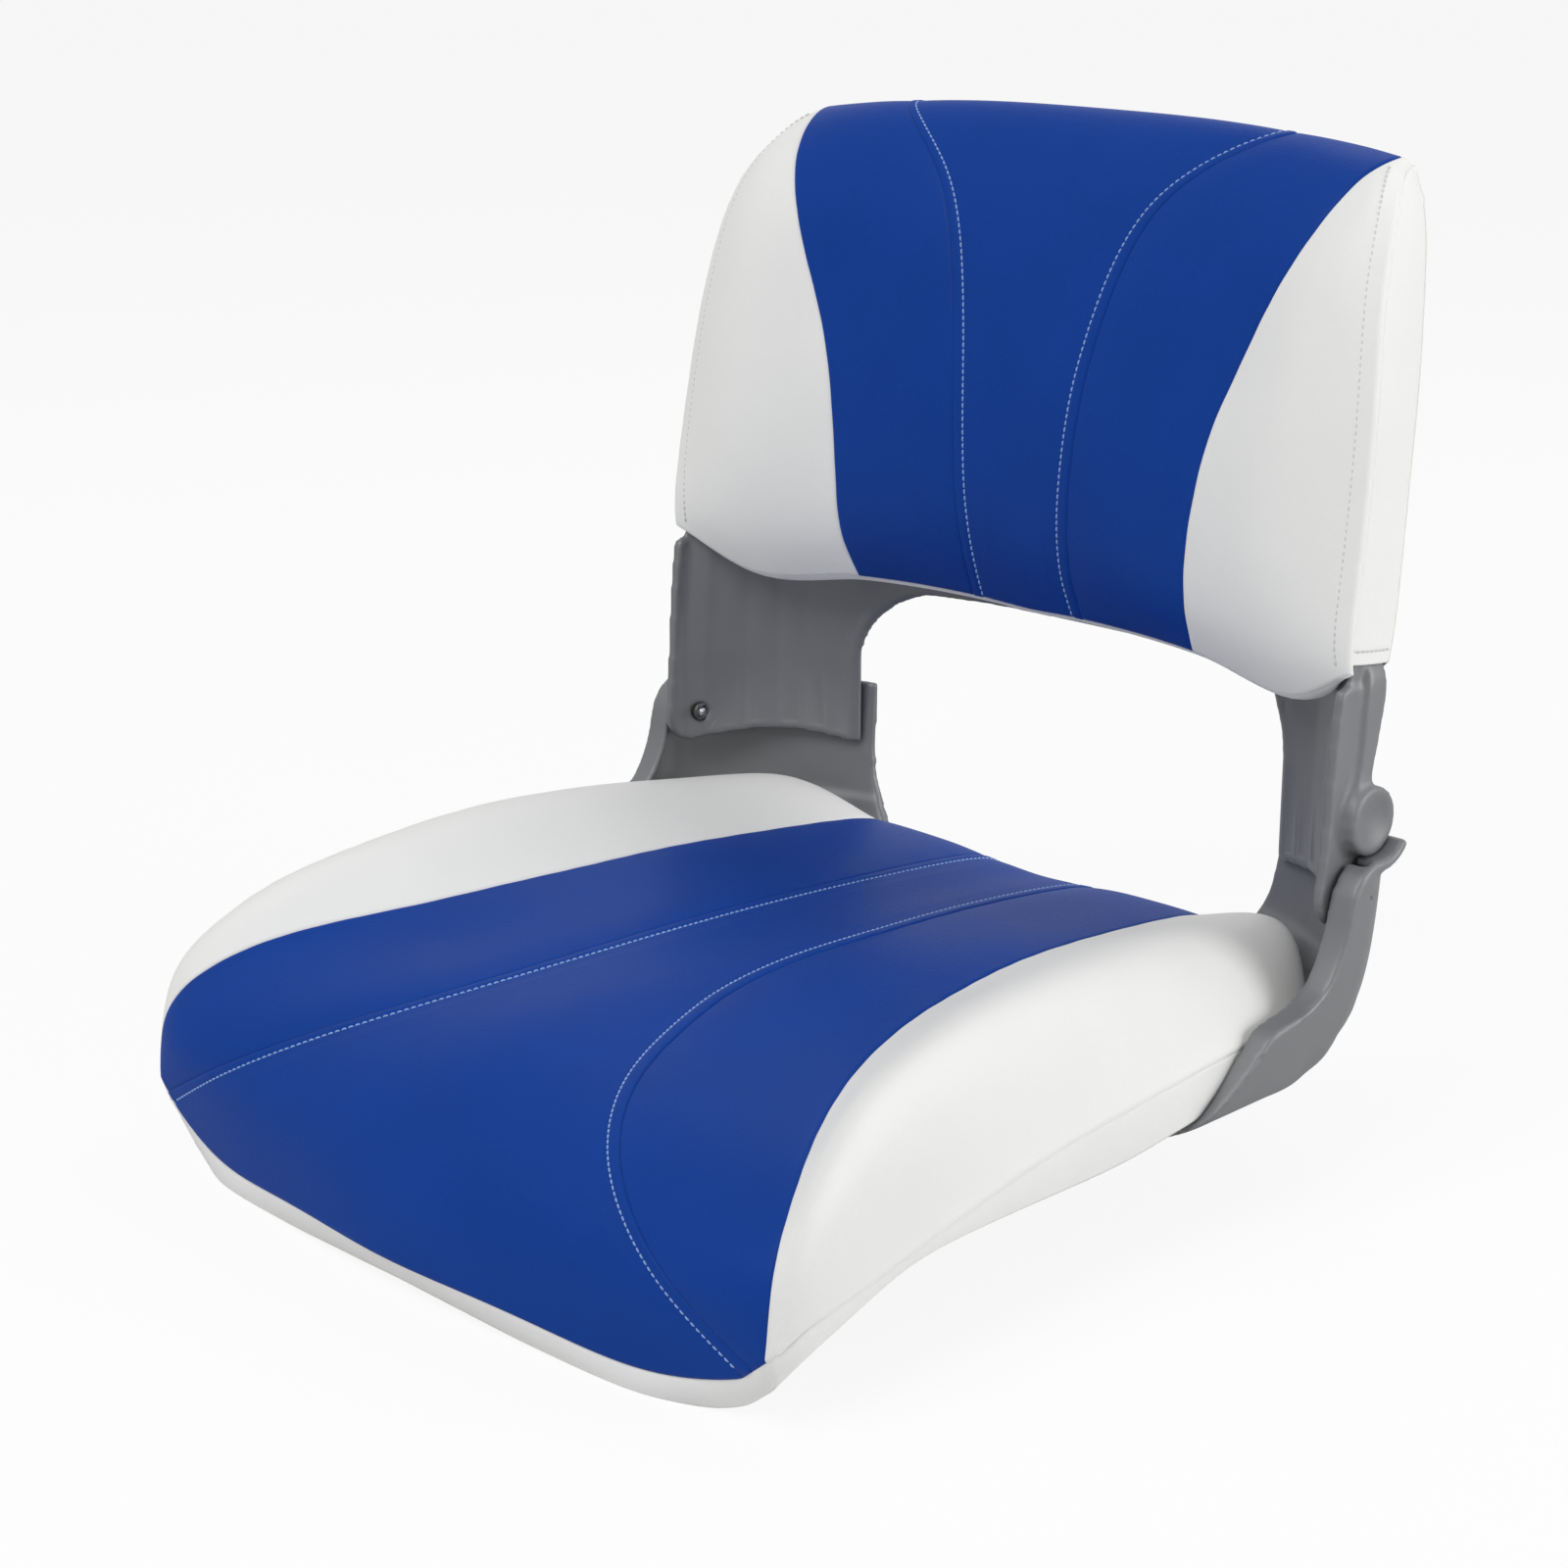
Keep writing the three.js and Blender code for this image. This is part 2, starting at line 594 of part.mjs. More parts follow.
const rear_line_shares = {
  centre: [
    [0, 0.98, 0.488], [0, 0.98, 0.545], [0, 0.98, 0.615], [0, 0.98, 0.706], [0, 0.98, 0.776],
    [0, 0.99, 0.862], [0, 1.01, 0.932], [0, 0.99, 0.985], [0, 0.939, 1],
  ],
  stitch: [
    [0.398, 0.95, 0.49], [0.398, 0.95, 0.545], [0.398, 0.95, 0.615], [0.398, 0.95, 0.706],
    [0.402, 0.95, 0.776], [0.414, 0.97, 0.864], [0.438, 0.995, 0.93], [0.478, 0.975, 0.981],
    [0.53, 0.919, 0.993],
  ],
  edge: [
    [0.697, 0.85, 0.488], [0.697, 0.85, 0.545], [0.697, 0.85, 0.611], [0.697, 0.86, 0.703],
    [0.701, 0.88, 0.776], [0.717, 0.91, 0.864], [0.749, 0.945, 0.927], [0.789, 0.952, 0.971],
    [0.825, 0.936, 0.978],
  ],
  crest: [
    [0.884, 0.78, 0.477], [0.884, 0.785, 0.545], [0.884, 0.79, 0.609], [0.88, 0.805, 0.699],
    [0.873, 0.83, 0.776], [0.853, 0.865, 0.864], [0.837, 0.905, 0.927], [0.829, 0.935, 0.965],
    [0.829, 0.95, 0.976],
  ],
  seam: [
    [1, 0.72, 0.519], [1, 0.735, 0.55], [1, 0.746, 0.606], [0.991, 0.772, 0.695],
    [0.978, 0.804, 0.776], [0.95, 0.845, 0.864], [0.92, 0.88, 0.923], [0.865, 0.925, 0.96],
    [0.833, 0.955, 0.972],
  ],
};

const line_through = (shares, scale) =>
  new THREE.CatmullRomCurve3(
    shares.map(([x, y, z]) => new THREE.Vector3(x, y, z).multiply(scale)),
    false,
    "catmullrom",
    0.5,
  );

const blend = (a, b, share) => new THREE.Vector3().lerpVectors(a, b, share);

// The surface of a cushion's cover, as a function of t across and s along.
class CushionSurface {
  constructor(line_shares, scale, facing, crown_height) {
    this.facing = facing;
    this.crown_height = crown_height;
    this.lines = {};
    for (const [name, shares] of Object.entries(line_shares)) {
      this.lines[name] = line_through(shares, scale);
    }
  }

  plain(t, s) {
    const side = t < 0 ? -1 : 1;
    const across = Math.abs(t);
    const on = (name) => this.lines[name].getPoint(s);
    let point;
    if (across <= 1) {
      const centre = on("centre");
      const stitch = on("stitch");
      const y = centre.y + (stitch.y - centre.y) * across ** 3;
      const z = centre.z + (stitch.z - centre.z) * across ** 3;
      point = new THREE.Vector3(stitch.x * across, y, z);
    } else if (across <= 2) {
      point = blend(on("stitch"), on("edge"), across - 1);
    } else {
      const u = Math.min(across, 3) - 2;
      point = on("edge").multiplyScalar((1 - u) * (1 - 2 * u));
      point.addScaledVector(on("crest"), 4 * u * (1 - u));
      point.addScaledVector(on("seam"), u * (2 * u - 1));
    }
    point.x *= side;
    return point;
  }

  normal(t, s) {
    const step = 0.01;
    const clamp = (value, low, high) => Math.min(Math.max(value, low), high);
    const over = this.plain(clamp(t + step, -3, 3), s).sub(this.plain(clamp(t - step, -3, 3), s));
    const along = this.plain(t, clamp(s + step, 0, 1)).sub(this.plain(t, clamp(s - step, 0, 1)));
    return over.cross(along).normalize().multiplyScalar(this.facing);
  }

  // Sewn panels stand proud between their seams, and sink by the crown at each seam.
  crown(t, s) {
    const across = Math.abs(t);
    const share = across <= 1 ? across : Math.abs(2 * (across - 1.5));
    const end = 1 - (2 * s - 1) ** 6;
    return across <= 2 ? this.crown_height * end * (1 - share ** 4) : 0;
  }

  point(t, s, depth = 0) {
    return this.plain(t, s).addScaledVector(this.normal(t, s), this.crown(t, s) - depth);
  }

  // A grid of points over a run of samples of t, kept back from both ends by the seam gap.
  grid(samples, depth) {
    const [low, high] = [samples[0], samples.at(-1)];
    return rows_of(samples, (t, s) => {
      const width = this.plain(low, s).distanceTo(this.plain(high, s));
      const inset = (high - low) * (seam_gap / width);
      const share = (t - low) / (high - low);
      return this.point(low + inset + (high - low - 2 * inset) * share, s, depth);
    });
  }

  panel(samples) {
    return slab(this.grid(samples, 0), this.grid(samples, cover_wall));
  }
}

const seat_scale = new THREE.Vector3(seat_half_width, seat_front_reach, seat_height);
const back_scale = new THREE.Vector3(back_half_width, back_reach, back_top);
const front_facing = 1;
const rear_facing = -1;
const seat_surface = new CushionSurface(seat_line_shares, seat_scale, rear_facing, cushion_crown);
const seat_floor = new CushionSurface(seat_floor_shares, seat_scale, rear_facing, 0);
const back_surface = new CushionSurface(back_line_shares, back_scale, front_facing, cushion_crown);

const cover_depth = cover_wall + clearance;
const panel_runs = [
  [-3, -2, white_panel_steps],
  [-2, -1, blue_panel_steps],
  [-1, 1, centre_panel_steps],
  [1, 2, blue_panel_steps],
  [2, 3, white_panel_steps],
];

// Evenly spaced values from low to high, both ends among them.
function spaced(low, high, steps) {
  return Array.from({ length: steps + 1 }, (_, i) => low + ((high - low) * i) / steps);
}

const panel_samples = panel_runs.map((run) => spaced(...run));
const all_samples = [...panel_samples.flatMap((samples) => samples.slice(0, -1)), 3];
const length_samples = spaced(0, 1, cushion_length_steps);

function rows_of(samples, point_at) {
  return samples.map((t) => length_samples.map((s) => point_at(t, s)));
}

// Foam stops short of a cushion's last edge, on the straight run up to it.
const seat_foam_end_share = 0.6;
const back_foam_end_share = 0.35;

// Foam is cut away in the corners where seams meet: under the seat's front corners and
// in the back's top corners.
const seat_relief_share = 0.93;
const seat_relief_height = 75;
const back_relief_share = 0.795;
const back_relief_bottom = 526;
const relief_length = 50;

function corner_relief(inner, end) {
  const outer = inner + relief_length;
  const start = end - Math.sign(end) * relief_length;
  return shape_of([[inner, start], [outer, start], [outer, end], [inner, end]]);
}

function foam_point(point_at, end_share, t, s) {
  if (s < 1) {
    return point_at(t, s);
  }
  return blend(point_at(t, length_samples.at(-2)), point_at(t, 1), end_share);
}

// The pan's walls with the clearance round them, for the foam to be cut back from.
function pan_clearance() {
  const outside = pan_body(-clearance, -clearance);
  const inside = pan_body(pan_wall + clearance, pan_wall + clearance);
  const outline = pan_side_outline();
  const keep = prism_along_x(outline, -ear_half_width - clearance, ear_half_width + clearance);
  return outside.subtract(inside).intersect(keep.translate([0, 0, clearance]));
}

function seat_foam() {
  const inside = (point, t, s) => {
    point.x -= Math.abs(t) === 3 ? Math.sign(t) * cover_depth : 0;
    point.x *= s === 1 ? 1 - cover_depth / seat_half_width : 1;
    return point;
  };
  const depth_at = (s) => (s < length_samples.at(-2) ? cover_depth : 2 * cover_depth);
  const top_point = (t, s) => inside(seat_surface.point(t, s, depth_at(s)), t, s);
  const floor_point = (t, s) => inside(seat_floor.plain(t, s), t, s);
  const top = rows_of(all_samples, (t, s) => foam_point(top_point, seat_foam_end_share, t, s));
  const floor = rows_of(all_samples, (t, s) => foam_point(floor_point, seat_foam_end_share, t, s));
  const relief = corner_relief(seat_relief_share * seat_half_width, -seat_front_reach);
  const low = prism_along_z(relief, 0, seat_relief_height);
  return solid(slab(top, floor)).subtract(pan_clearance()).subtract(both_sides(low));
}

add("seat_foam", geometry_of(seat_foam()), foam_finish);

function add_panels(prefix, surface) {
  const panels = [
    ["white_right", vinyl_white],
    ["blue_right", vinyl_blue],
    ["centre", vinyl_blue],
    ["blue_left", vinyl_blue],
    ["white_left", vinyl_white],
  ];
  panels.forEach(([name, finish], k) => {
    add(`${prefix}_${name}`, surface.panel(panel_samples[k]), finish);
  });
}

add_panels("seat_cover", seat_surface);

// A skin of cover material under a grid of points, thick on the side towards a middle.
function skin(outer, middle) {
  const inner = outer.map((row, i) =>
    row.map((point, j) => {
      const before = outer[Math.max(i - 1, 0)][j];
      const after = outer[Math.min(i + 1, outer.length - 1)][j];
      const over = after.clone().sub(before);
      const along = row[Math.min(j + 1, row.length - 1)].clone().sub(row[Math.max(j - 1, 0)]);
      const normal = over.cross(along).normalize();
      const outward = Math.sign(normal.dot(point.clone().sub(middle)));
      return point.clone().addScaledVector(normal, -outward * cover_wall);
    }),
  );
  return slab(outer, inner);
}

// The band round the seat cushion, from its seam down to its hem.
const band_start_row = 5;

function seat_band() {
  const sides = length_samples.slice(band_start_row, -1);
  const right = sides.map((s) => [3, s]);
  const front = all_samples.filter((t) => Math.abs(t) <= 2).map((t) => [t, 1]);
  const left = sides.map((s) => [-3, s]);
  const places = [...right, ...front.reverse(), ...left.reverse()];
  const outer = places.map(([t, s]) => {
    const top = seat_surface.plain(t, s);
    const bottom = seat_floor.plain(t, s);
    const start = corner_gap / top.distanceTo(bottom);
    return [start, (1 + start) / 2, 1].map((share) => blend(top, bottom, share));
  });
  return skin(outer, new THREE.Vector3(0, 0, foam_floor));
}

add("seat_cover_band", seat_band(), vinyl_white);

// Back shell: a wall bowed in plan, with a flange down each side. Each level gives the
// shares of back_top, back_half_width and back_reach for its height, edge and edge depth.
const shell_level_shares = [
  [0.262, 0.992, 0.551], [0.367, 0.992, 0.551], [0.49, 0.992, 0.578], [0.525, 0.992, 0.6],
  [0.615, 0.988, 0.618], [0.706, 0.98, 0.648], [0.776, 0.966, 0.672], [0.864, 0.938, 0.722],
  [0.923, 0.9, 0.792],
  [0.935, 0.85, 0.84], [0.943, 0.8, 0.87],
];
const shell_bow_shares = [
  [0, 0], [0.24, 0.01], [0.4, 0.05], [0.532, 0.13], [0.588, 0.204], [0.64, 0.302],
  [0.8, 0.48], [0.9, 0.7], [0.96, 0.9], [1, 1],
];
const shell_flange_shares = [
  [0.49, 0.125], [0.525, 0.106], [0.615, 0.1], [0.706, 0.087], [0.776, 0.071], [0.864, 0.047],
  [0.923, 0.03],
];
const shell_middle = shell_rear_reach - shell_wall;

// The value in one column of a table, between the rows on either side of a key.
function value_at(table, where, column = 1) {
  const last = table.length - 1;
  const above = table.findIndex(([key]) => key > where);
  const next = above < 0 ? last : Math.max(above, 1);
  const [low, high] = [table[next - 1], table[next]];
  return low[column] + ((high[column] - low[column]) * (where - low[0])) / (high[0] - low[0]);
}

const bow_curve = new THREE.SplineCurve(shell_bow_shares.map(([x, y]) => new THREE.Vector2(x, y)));
const bow_table = bow_curve.getPoints(shell_steps).map((p) => [p.x, p.y]);

const shell_edge_x = (z) => value_at(shell_level_shares, z / back_top) * back_half_width;
const shell_edge_y = (z) => value_at(shell_level_shares, z / back_top, 2) * back_reach;

// Front face of the back shell: depth at a place across and a height. It leans forward
// over the last of its height.
const shell_lean_start = 0.9 * back_top;
const shell_lean = 0.2;

function shell_front(x, z) {
  const share = Math.min(Math.abs(x) / shell_edge_x(z), 1);
  const middle = shell_middle - shell_lean * Math.max(z - shell_lean_start, 0);
  return middle - (middle - shell_edge_y(z)) * value_at(bow_table, share);
}

// What lies between two depths behind the shell's front face, out to its edge and beyond
// by the given overrun.
function shell_layer(near, far, overrun) {
  const rows = [near, far].map(() => []);
  for (const [share] of shell_level_shares) {
    const z = share * back_top;
    const edge = shell_edge_x(z);
    const across = [];
    for (let i = -shell_steps; i <= shell_steps; i += 1) {
      across.push((edge * i) / shell_steps);
    }
    if (overrun > 0) {
      across.unshift(-edge - overrun);
      across.push(edge + overrun);
    }
    for (const [k, depth] of [near, far].entries()) {
      rows[k].push(across.map((x) => new THREE.Vector3(x, shell_front(x, z) + depth, z)));
    }
  }
  return solid(slab(...rows));
}

function shell_flange() {
  const rows = [0, shell_flange_wall].map((inset) =>
    shell_flange_shares.map(([share, depth_share]) => {
      const z = share * back_top;
      const x = shell_edge_x(z) - inset;
      const front = shell_edge_y(z);
      const rear = front + depth_share * back_reach;
      return [new THREE.Vector3(x, front, z), new THREE.Vector3(x, rear, z)];
    }),
  );
  return solid(slab(...rows));
}

// Side view of the leg below the cushion, as shares of back_reach and leg_top.
const leg_rear_shares = [
  [0.66, 0.545], [0.664, 0.603], [0.668, 0.694], [0.672, 0.784], [0.68, 0.857], [0.703, 0.949],
  [0.706, 1],
];
const leg_front_shares = [
  [0.57, 1], [0.56, 0.931], [0.551, 0.831], [0.547, 0.748], [0.539, 0.676],
];
const leg_round_start = 0.97 * Math.PI;
const leg_round_end = 1.72 * Math.PI;

function leg_side_shape() {
  const shape = new THREE.Shape();
  const place = ([y, z]) => [y * back_reach, z * leg_top];
  shape.moveTo(...place(leg_front_shares[0]));
  for (const pair of leg_front_shares.slice(1)) {
    shape.lineTo(...place(pair));
  }
  shape.absarc(pivot_y, pivot_z, back_fold_radius, leg_round_start, leg_round_end, false);
  for (const pair of leg_rear_shares) {
    shape.lineTo(...place(pair));
  }
  return shape;
}

// Front view of what is cut away: the window between the legs and the arch under each.
const arch_shares = [
  [0, 1.4], [0.02, 0.85], [0.05, 0.4], [0.09, 0.22], [0.15, 0.5], [0.4, 1], [0.7, 0.85], [0.95, 0.35],
  [1, 0.45],
];

function window_shape() {
  const shape = new THREE.Shape();
  const span = leg_outer_face - leg_inner_edge;
  shape.moveTo(0, shell_bottom - cut_overrun);
  shape.lineTo(leg_outer_face + cut_overrun, shell_bottom - cut_overrun);
  shape.lineTo(leg_outer_face + cut_overrun, shell_bottom);
  for (const [across, rise] of arch_shares) {
    shape.lineTo(leg_outer_face - across * span, shell_bottom + leg_arch_rise * rise);
  }
  const centre_x = leg_inner_edge - leg_window_radius;
  const centre_z = leg_window_top - leg_window_radius;
  shape.absarc(centre_x, centre_z, leg_window_radius, 0, Math.PI / 2, false);
  shape.lineTo(0, leg_window_top);
  return shape;
}

const rib_height_shares = [0.776, 0.875, 0.975];

function leg_rib(z) {
  const edge = leg_outer_face - shell_flange_wall / 2;
  const far_x = leg_inner_edge + shell_wall;
  const inside = (x) => shell_front(x, z) + shell_wall / 2;
  const side = leg_rear_shares.map(([y, height]) => [height, y]);
  const rear = value_at(side, z / leg_top) * back_reach - shell_wall;
  const shape = shape_of([[edge, inside(edge)], [edge, rear], [far_x, inside(far_x)]]);
  return prism_along_z(shape, z - shell_rib_wall / 2, z + shell_rib_wall / 2);
}

const screw_head_face = leg_outer_face - leg_grip;

function back_shell() {
  const behind = shell_layer(0, shell_rear_reach, cut_overrun);
  let sides = shell_flange().intersect(behind);
  sides = sides.add(
    prism_along_x(leg_side_shape(), leg_outer_face - shell_flange_wall, leg_outer_face),
  );
  for (const share of rib_height_shares) {
    sides = sides.add(leg_rib(share * leg_top).intersect(behind));
  }
  const boss = rod_along_x(hinge_boss_radius, screw_head_face, leg_outer_face, pivot_y, pivot_z);
  sides = sides.add(boss.intersect(behind));
  const lobe_start = leg_outer_face - shell_flange_wall;
  sides = sides.add(rod_along_x(lobe_radius, lobe_start, lobe_outer_face, lobe_y, lobe_z));
  const body = shell_layer(0, shell_wall, 0).add(both_sides(sides));
  const window = prism_along_y(window_shape(), 0, shell_rear_reach + cut_overrun);
  const recess_end = screw_head_face + hinge_screw_head_height + clearance;
  const recess_radius = hinge_screw_head_radius + clearance;
  const recess = rod_along_x(recess_radius, leg_inner_edge, recess_end, pivot_y, pivot_z);
  const hole = rod_along_x(hinge_hole_radius, leg_inner_edge, ear_half_width, pivot_y, pivot_z);
  return body.subtract(both_sides(window.add(recess).add(hole)));
}

add("back_shell", geometry_of(back_shell()), grey_plastic);

// The slip-over cover is taut behind the shell: from the flange's edge it runs straight
// to where it meets the shell, and past the shell's top it falls away.
const taut_fall = 1.3;
const taut_turn_height = 8;

class TautSurface extends CushionSurface {
  plain(t, s) {
    const point = super.plain(t, s);
    const top = shell_level_shares.at(-1)[0] * back_top;
    const z = Math.min(point.z, top);
    const edge = shell_edge_x(z);
    const flange = shell_edge_y(z) + value_at(shell_flange_shares, z / back_top) * back_reach;
    const rear_of = (x) => shell_front(x, z) + shell_wall;
    const across = Math.min(Math.abs(point.x), edge);
    let taut = Math.max(rear_of(across), across === edge ? flange : 0);
    for (let i = 0; i < shell_steps; i += 1) {
      const x = (across * i) / shell_steps;
      const share = (across - x) / (edge - x);
      taut = Math.max(taut, rear_of(x) + (flange - rear_of(x)) * share);
    }
    const fall = taut_fall * Math.max(point.z - top - taut_turn_height, 0);
    point.y = Math.max(point.y, taut + sock_rear_gap + cover_wall - fall);
    return point;
  }
}

const rear_surface = new TautSurface(rear_line_shares, back_scale, rear_facing, 0);

// Back cushion
function back_foam() {
  const inside = (surface) => (t, s) => {
    const point = surface.point(t, s, s === 1 ? 2 * cover_depth : cover_depth);
    if (Math.abs(t) === 3) {
      point.x -= Math.sign(t) * 2 * cover_wall;
      point.y += surface.facing * cover_wall;
    }
    if (s === 0) {
      point.z += (surface === rear_surface ? 4 : 2) * cover_depth;
    }
    return point;
  };
  const rows_on = (surface) =>
    rows_of(all_samples, (t, s) => foam_point(inside(surface), back_foam_end_share, t, s));
  const taken = shell_layer(-clearance, shell_rear_reach, cut_overrun);
  const lifted = taken.translate([0, 0, clearance]);
  const whole = solid(slab(rows_on(back_surface), rows_on(rear_surface)));
  const relief = corner_relief(back_relief_share * back_half_width, back_reach);
  const high = prism_along_z(relief, back_relief_bottom, back_top + cut_overrun);
  return whole.subtract(taken.add(lifted)).subtract(both_sides(high));
}

add("back_foam", geometry_of(back_foam()), foam_finish);
add_panels("back_cover", back_surface);
add("back_cover_rear", rear_surface.panel(all_samples), vinyl_white);

// The strip down each side of the back cover, between its front and rear seams.
const boxing_end_share = 0.78;

function back_boxing(side) {
  const rows = length_samples.map((share_along) => {
    const s = boxing_end_share * share_along;
    const front = back_surface.plain(3 * side, s);
    const rear = rear_surface.plain(3 * side, s);
    const start = corner_gap / front.distanceTo(rear);
    return [start, 1 / 2, 1 - start].map((share) => blend(front, rear, share));
  });
  return skin(rows, new THREE.Vector3(0, rows[0][0].y, rows[0][0].z));
}

for (const [name, side] of side_names) {
  add(`back_cover_side_${name}`, back_boxing(side), vinyl_white);
}

// The cover's underside, from its front panels back to the shell.
const underside_reach = 2.8;

function back_underside() {
  const samples = all_samples.filter((t) => Math.abs(t) < underside_reach);
  const outer = samples.map((t) => {
    const front = back_surface.point(t, 0, cover_depth);
    const rear = front.clone();
    rear.y = shell_front(front.x, front.z) - corner_gap;
    return [front, rear];
  });
  return skin(outer, new THREE.Vector3(0, back_reach, back_top));
}

add("back_cover_underside", back_underside(), vinyl_white);

// Hinges: a screw from inside each leg, through a bush, into an insert in the ear.
function add_turned_hinge_piece(name, profile, finish) {
  for (const [side_name, side] of side_names) {
    const geometry = turned(profile).rotateY((side * Math.PI) / 2);
    add(`${name}_${side_name}`, geometry.translate(0, pivot_y, pivot_z), finish);
  }
}

const hinge_head_end = screw_head_face + hinge_screw_head_height;
const hinge_sleeve_radius = hinge_screw_radius + clearance;
const hinge_insert_end = hinge_insert_start + hinge_insert_length;

function ring_profile(inner, outer, low, high) {
  return [[inner, low], [outer, low], [outer, high], [inner, high]];
}

add_turned_hinge_piece(
  "hinge_screw",
  [
    [0, screw_head_face],
    [hinge_screw_head_radius, screw_head_face],
    [hinge_screw_head_radius, hinge_head_end],
    [hinge_screw_radius, hinge_head_end],
    [hinge_screw_radius, hinge_insert_end - clearance],
    [0, hinge_insert_end - clearance],
  ],
  steel_finish,
);
add_turned_hinge_piece(
  "hinge_bush",
  ring_profile(
    hinge_sleeve_radius,
    hinge_screw_radius + hinge_bush_wall,
    hinge_head_end + clearance,
    flange_inner_face,
  ),
  brass_finish,
);
add_turned_hinge_piece(
  "hinge_insert",
  ring_profile(hinge_sleeve_radius, hinge_insert_radius, hinge_insert_start, hinge_insert_end),
  brass_finish,
);

export default part;
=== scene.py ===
"""Folding boat seat: the looks of its cushions, shells and hinges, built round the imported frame.

Lengths are millimetres, and become metres when a mesh is made. Only the studio is in metres.
"""

from __future__ import annotations

import logging
import math
from collections.abc import Callable, Sequence
from dataclasses import dataclass, field
from enum import Enum

import bmesh
import bpy
import numpy as np
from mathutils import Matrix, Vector

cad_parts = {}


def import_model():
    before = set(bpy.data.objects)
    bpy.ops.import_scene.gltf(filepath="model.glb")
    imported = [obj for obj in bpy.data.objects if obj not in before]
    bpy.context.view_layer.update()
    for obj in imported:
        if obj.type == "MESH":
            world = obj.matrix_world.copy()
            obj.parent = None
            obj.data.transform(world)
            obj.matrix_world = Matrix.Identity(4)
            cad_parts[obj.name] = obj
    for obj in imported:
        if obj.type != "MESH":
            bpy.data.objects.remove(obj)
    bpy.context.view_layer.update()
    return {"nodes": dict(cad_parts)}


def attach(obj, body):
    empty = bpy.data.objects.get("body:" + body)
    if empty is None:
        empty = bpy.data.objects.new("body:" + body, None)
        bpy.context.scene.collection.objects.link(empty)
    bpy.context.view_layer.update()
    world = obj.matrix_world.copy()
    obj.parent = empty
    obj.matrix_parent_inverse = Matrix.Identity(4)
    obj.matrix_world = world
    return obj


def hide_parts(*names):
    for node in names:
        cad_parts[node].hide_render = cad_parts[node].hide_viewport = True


log = logging.getLogger("boat_seat")

MM = 0.001
Array = np.ndarray
Colour = tuple[float, float, float]
Face = tuple[int, ...]
Mesh = tuple[Array, list[Face]]
Distance = Callable[[Array], Array]

# The sides with their signs along x, and what mirrors a point from one to the other
SIDES = (("left", 1.0), ("right", -1.0))
MIRROR = np.array([-1.0, 1.0, 1.0])
# A point inside each cushion, and the half width, reach and height that a cushion's lines are shares of
CUSHION_MIDDLES = {"seat": (0.0, 0.0, 40.0), "back": (0.0, 190.0, 380.0)}
SEAT_SIZE = (250.0, 288.0, 122.0)
BACK_SIZE = (251.0, 256.0, 545.0)
# Where the hinge's line is in y and z
HINGE_LINE = (156.0, 164.0)
# Thickness of the covers and of the linings
COVER = 1.1
LINING = 0.8
# Width of the border outside a topstitched line, and the panel width under which the relief fades
BORDER = 7.0
NARROW = 14.0
# Values of t, across a cushion, on the topstitched line, the edge of the blue and the side seam
STITCH_T = 1.0
EDGE_T = 2.0
SEAM_T = 3.0
# What keeps a division from zero, and a place inside the last step of a line
TINY = 1e-9
LITTLE = 1e-3
WHITE = (1.0, 1.0, 1.0, 1.0)


# Shader building


@dataclass(frozen=True)
class Wire:
    """One output of a shader node, which Python operators turn into Math nodes."""

    nodes: Nodes
    socket: bpy.types.NodeSocket

    def _math(self, operation: str, first: object, second: object = 0.0) -> Wire:
        """Adds a Math node that works on two values.

        Args:
            operation: the Math node's operation.
            first: a wire or a number.
            second: a wire or a number.

        Returns:
            The node's result.
        """
        return self.nodes.node("ShaderNodeMath", {"operation": operation}, {0: first, 1: second})

    def __add__(self, other: object) -> Wire:
        """Sum."""
        return self._math("ADD", self, other)

    __radd__ = __add__

    def __sub__(self, other: object) -> Wire:
        """Difference."""
        return self._math("SUBTRACT", self, other)

    def __rsub__(self, other: object) -> Wire:
        """Difference, with this wire taken away."""
        return self._math("SUBTRACT", other, self)

    def __mul__(self, other: object) -> Wire:
        """Product."""
        return self._math("MULTIPLY", self, other)

    __rmul__ = __mul__

    def or_more(self, other: object) -> Wire:
        """The higher of two values."""
        return self._math("MAXIMUM", self, other)


class Nodes:
    """The node tree of a material or of the world."""

    def __init__(self, owner: bpy.types.Material | bpy.types.World) -> None:
        """Starts with the nodes that the owner has at first.

        Args:
            owner: the material or world.
        """
        owner.use_nodes = True
        self.tree = owner.node_tree

    def node(
        self,
        kind: str,
        settings: dict[str, object] | None = None,
        inputs: dict[int | str, object] | None = None,
        output: int | str = 0,
    ) -> Wire:
        """Adds one node.

        Args:
            kind: the node's type.
            settings: its properties, set first.
            inputs: numbers, colours or wires for its sockets, by number or name.
            output: the output that is handed back.

        Returns:
            That output as a wire.
        """
        made = self.tree.nodes.new(kind)
        for key, value in (settings or {}).items():
            setattr(made, key, value)
        for key, value in (inputs or {}).items():
            self.connect(made.inputs[key], value)
        return Wire(self, made.outputs[output])

    def connect(self, socket: bpy.types.NodeSocket, value: object) -> None:
        """Links a wire to a socket, or sets the socket's own value.

        Args:
            socket: the input.
            value: a wire, a number, or a colour or vector.
        """
        if isinstance(value, Wire):
            self.tree.links.new(value.socket, socket)
        else:
            socket.default_value = value


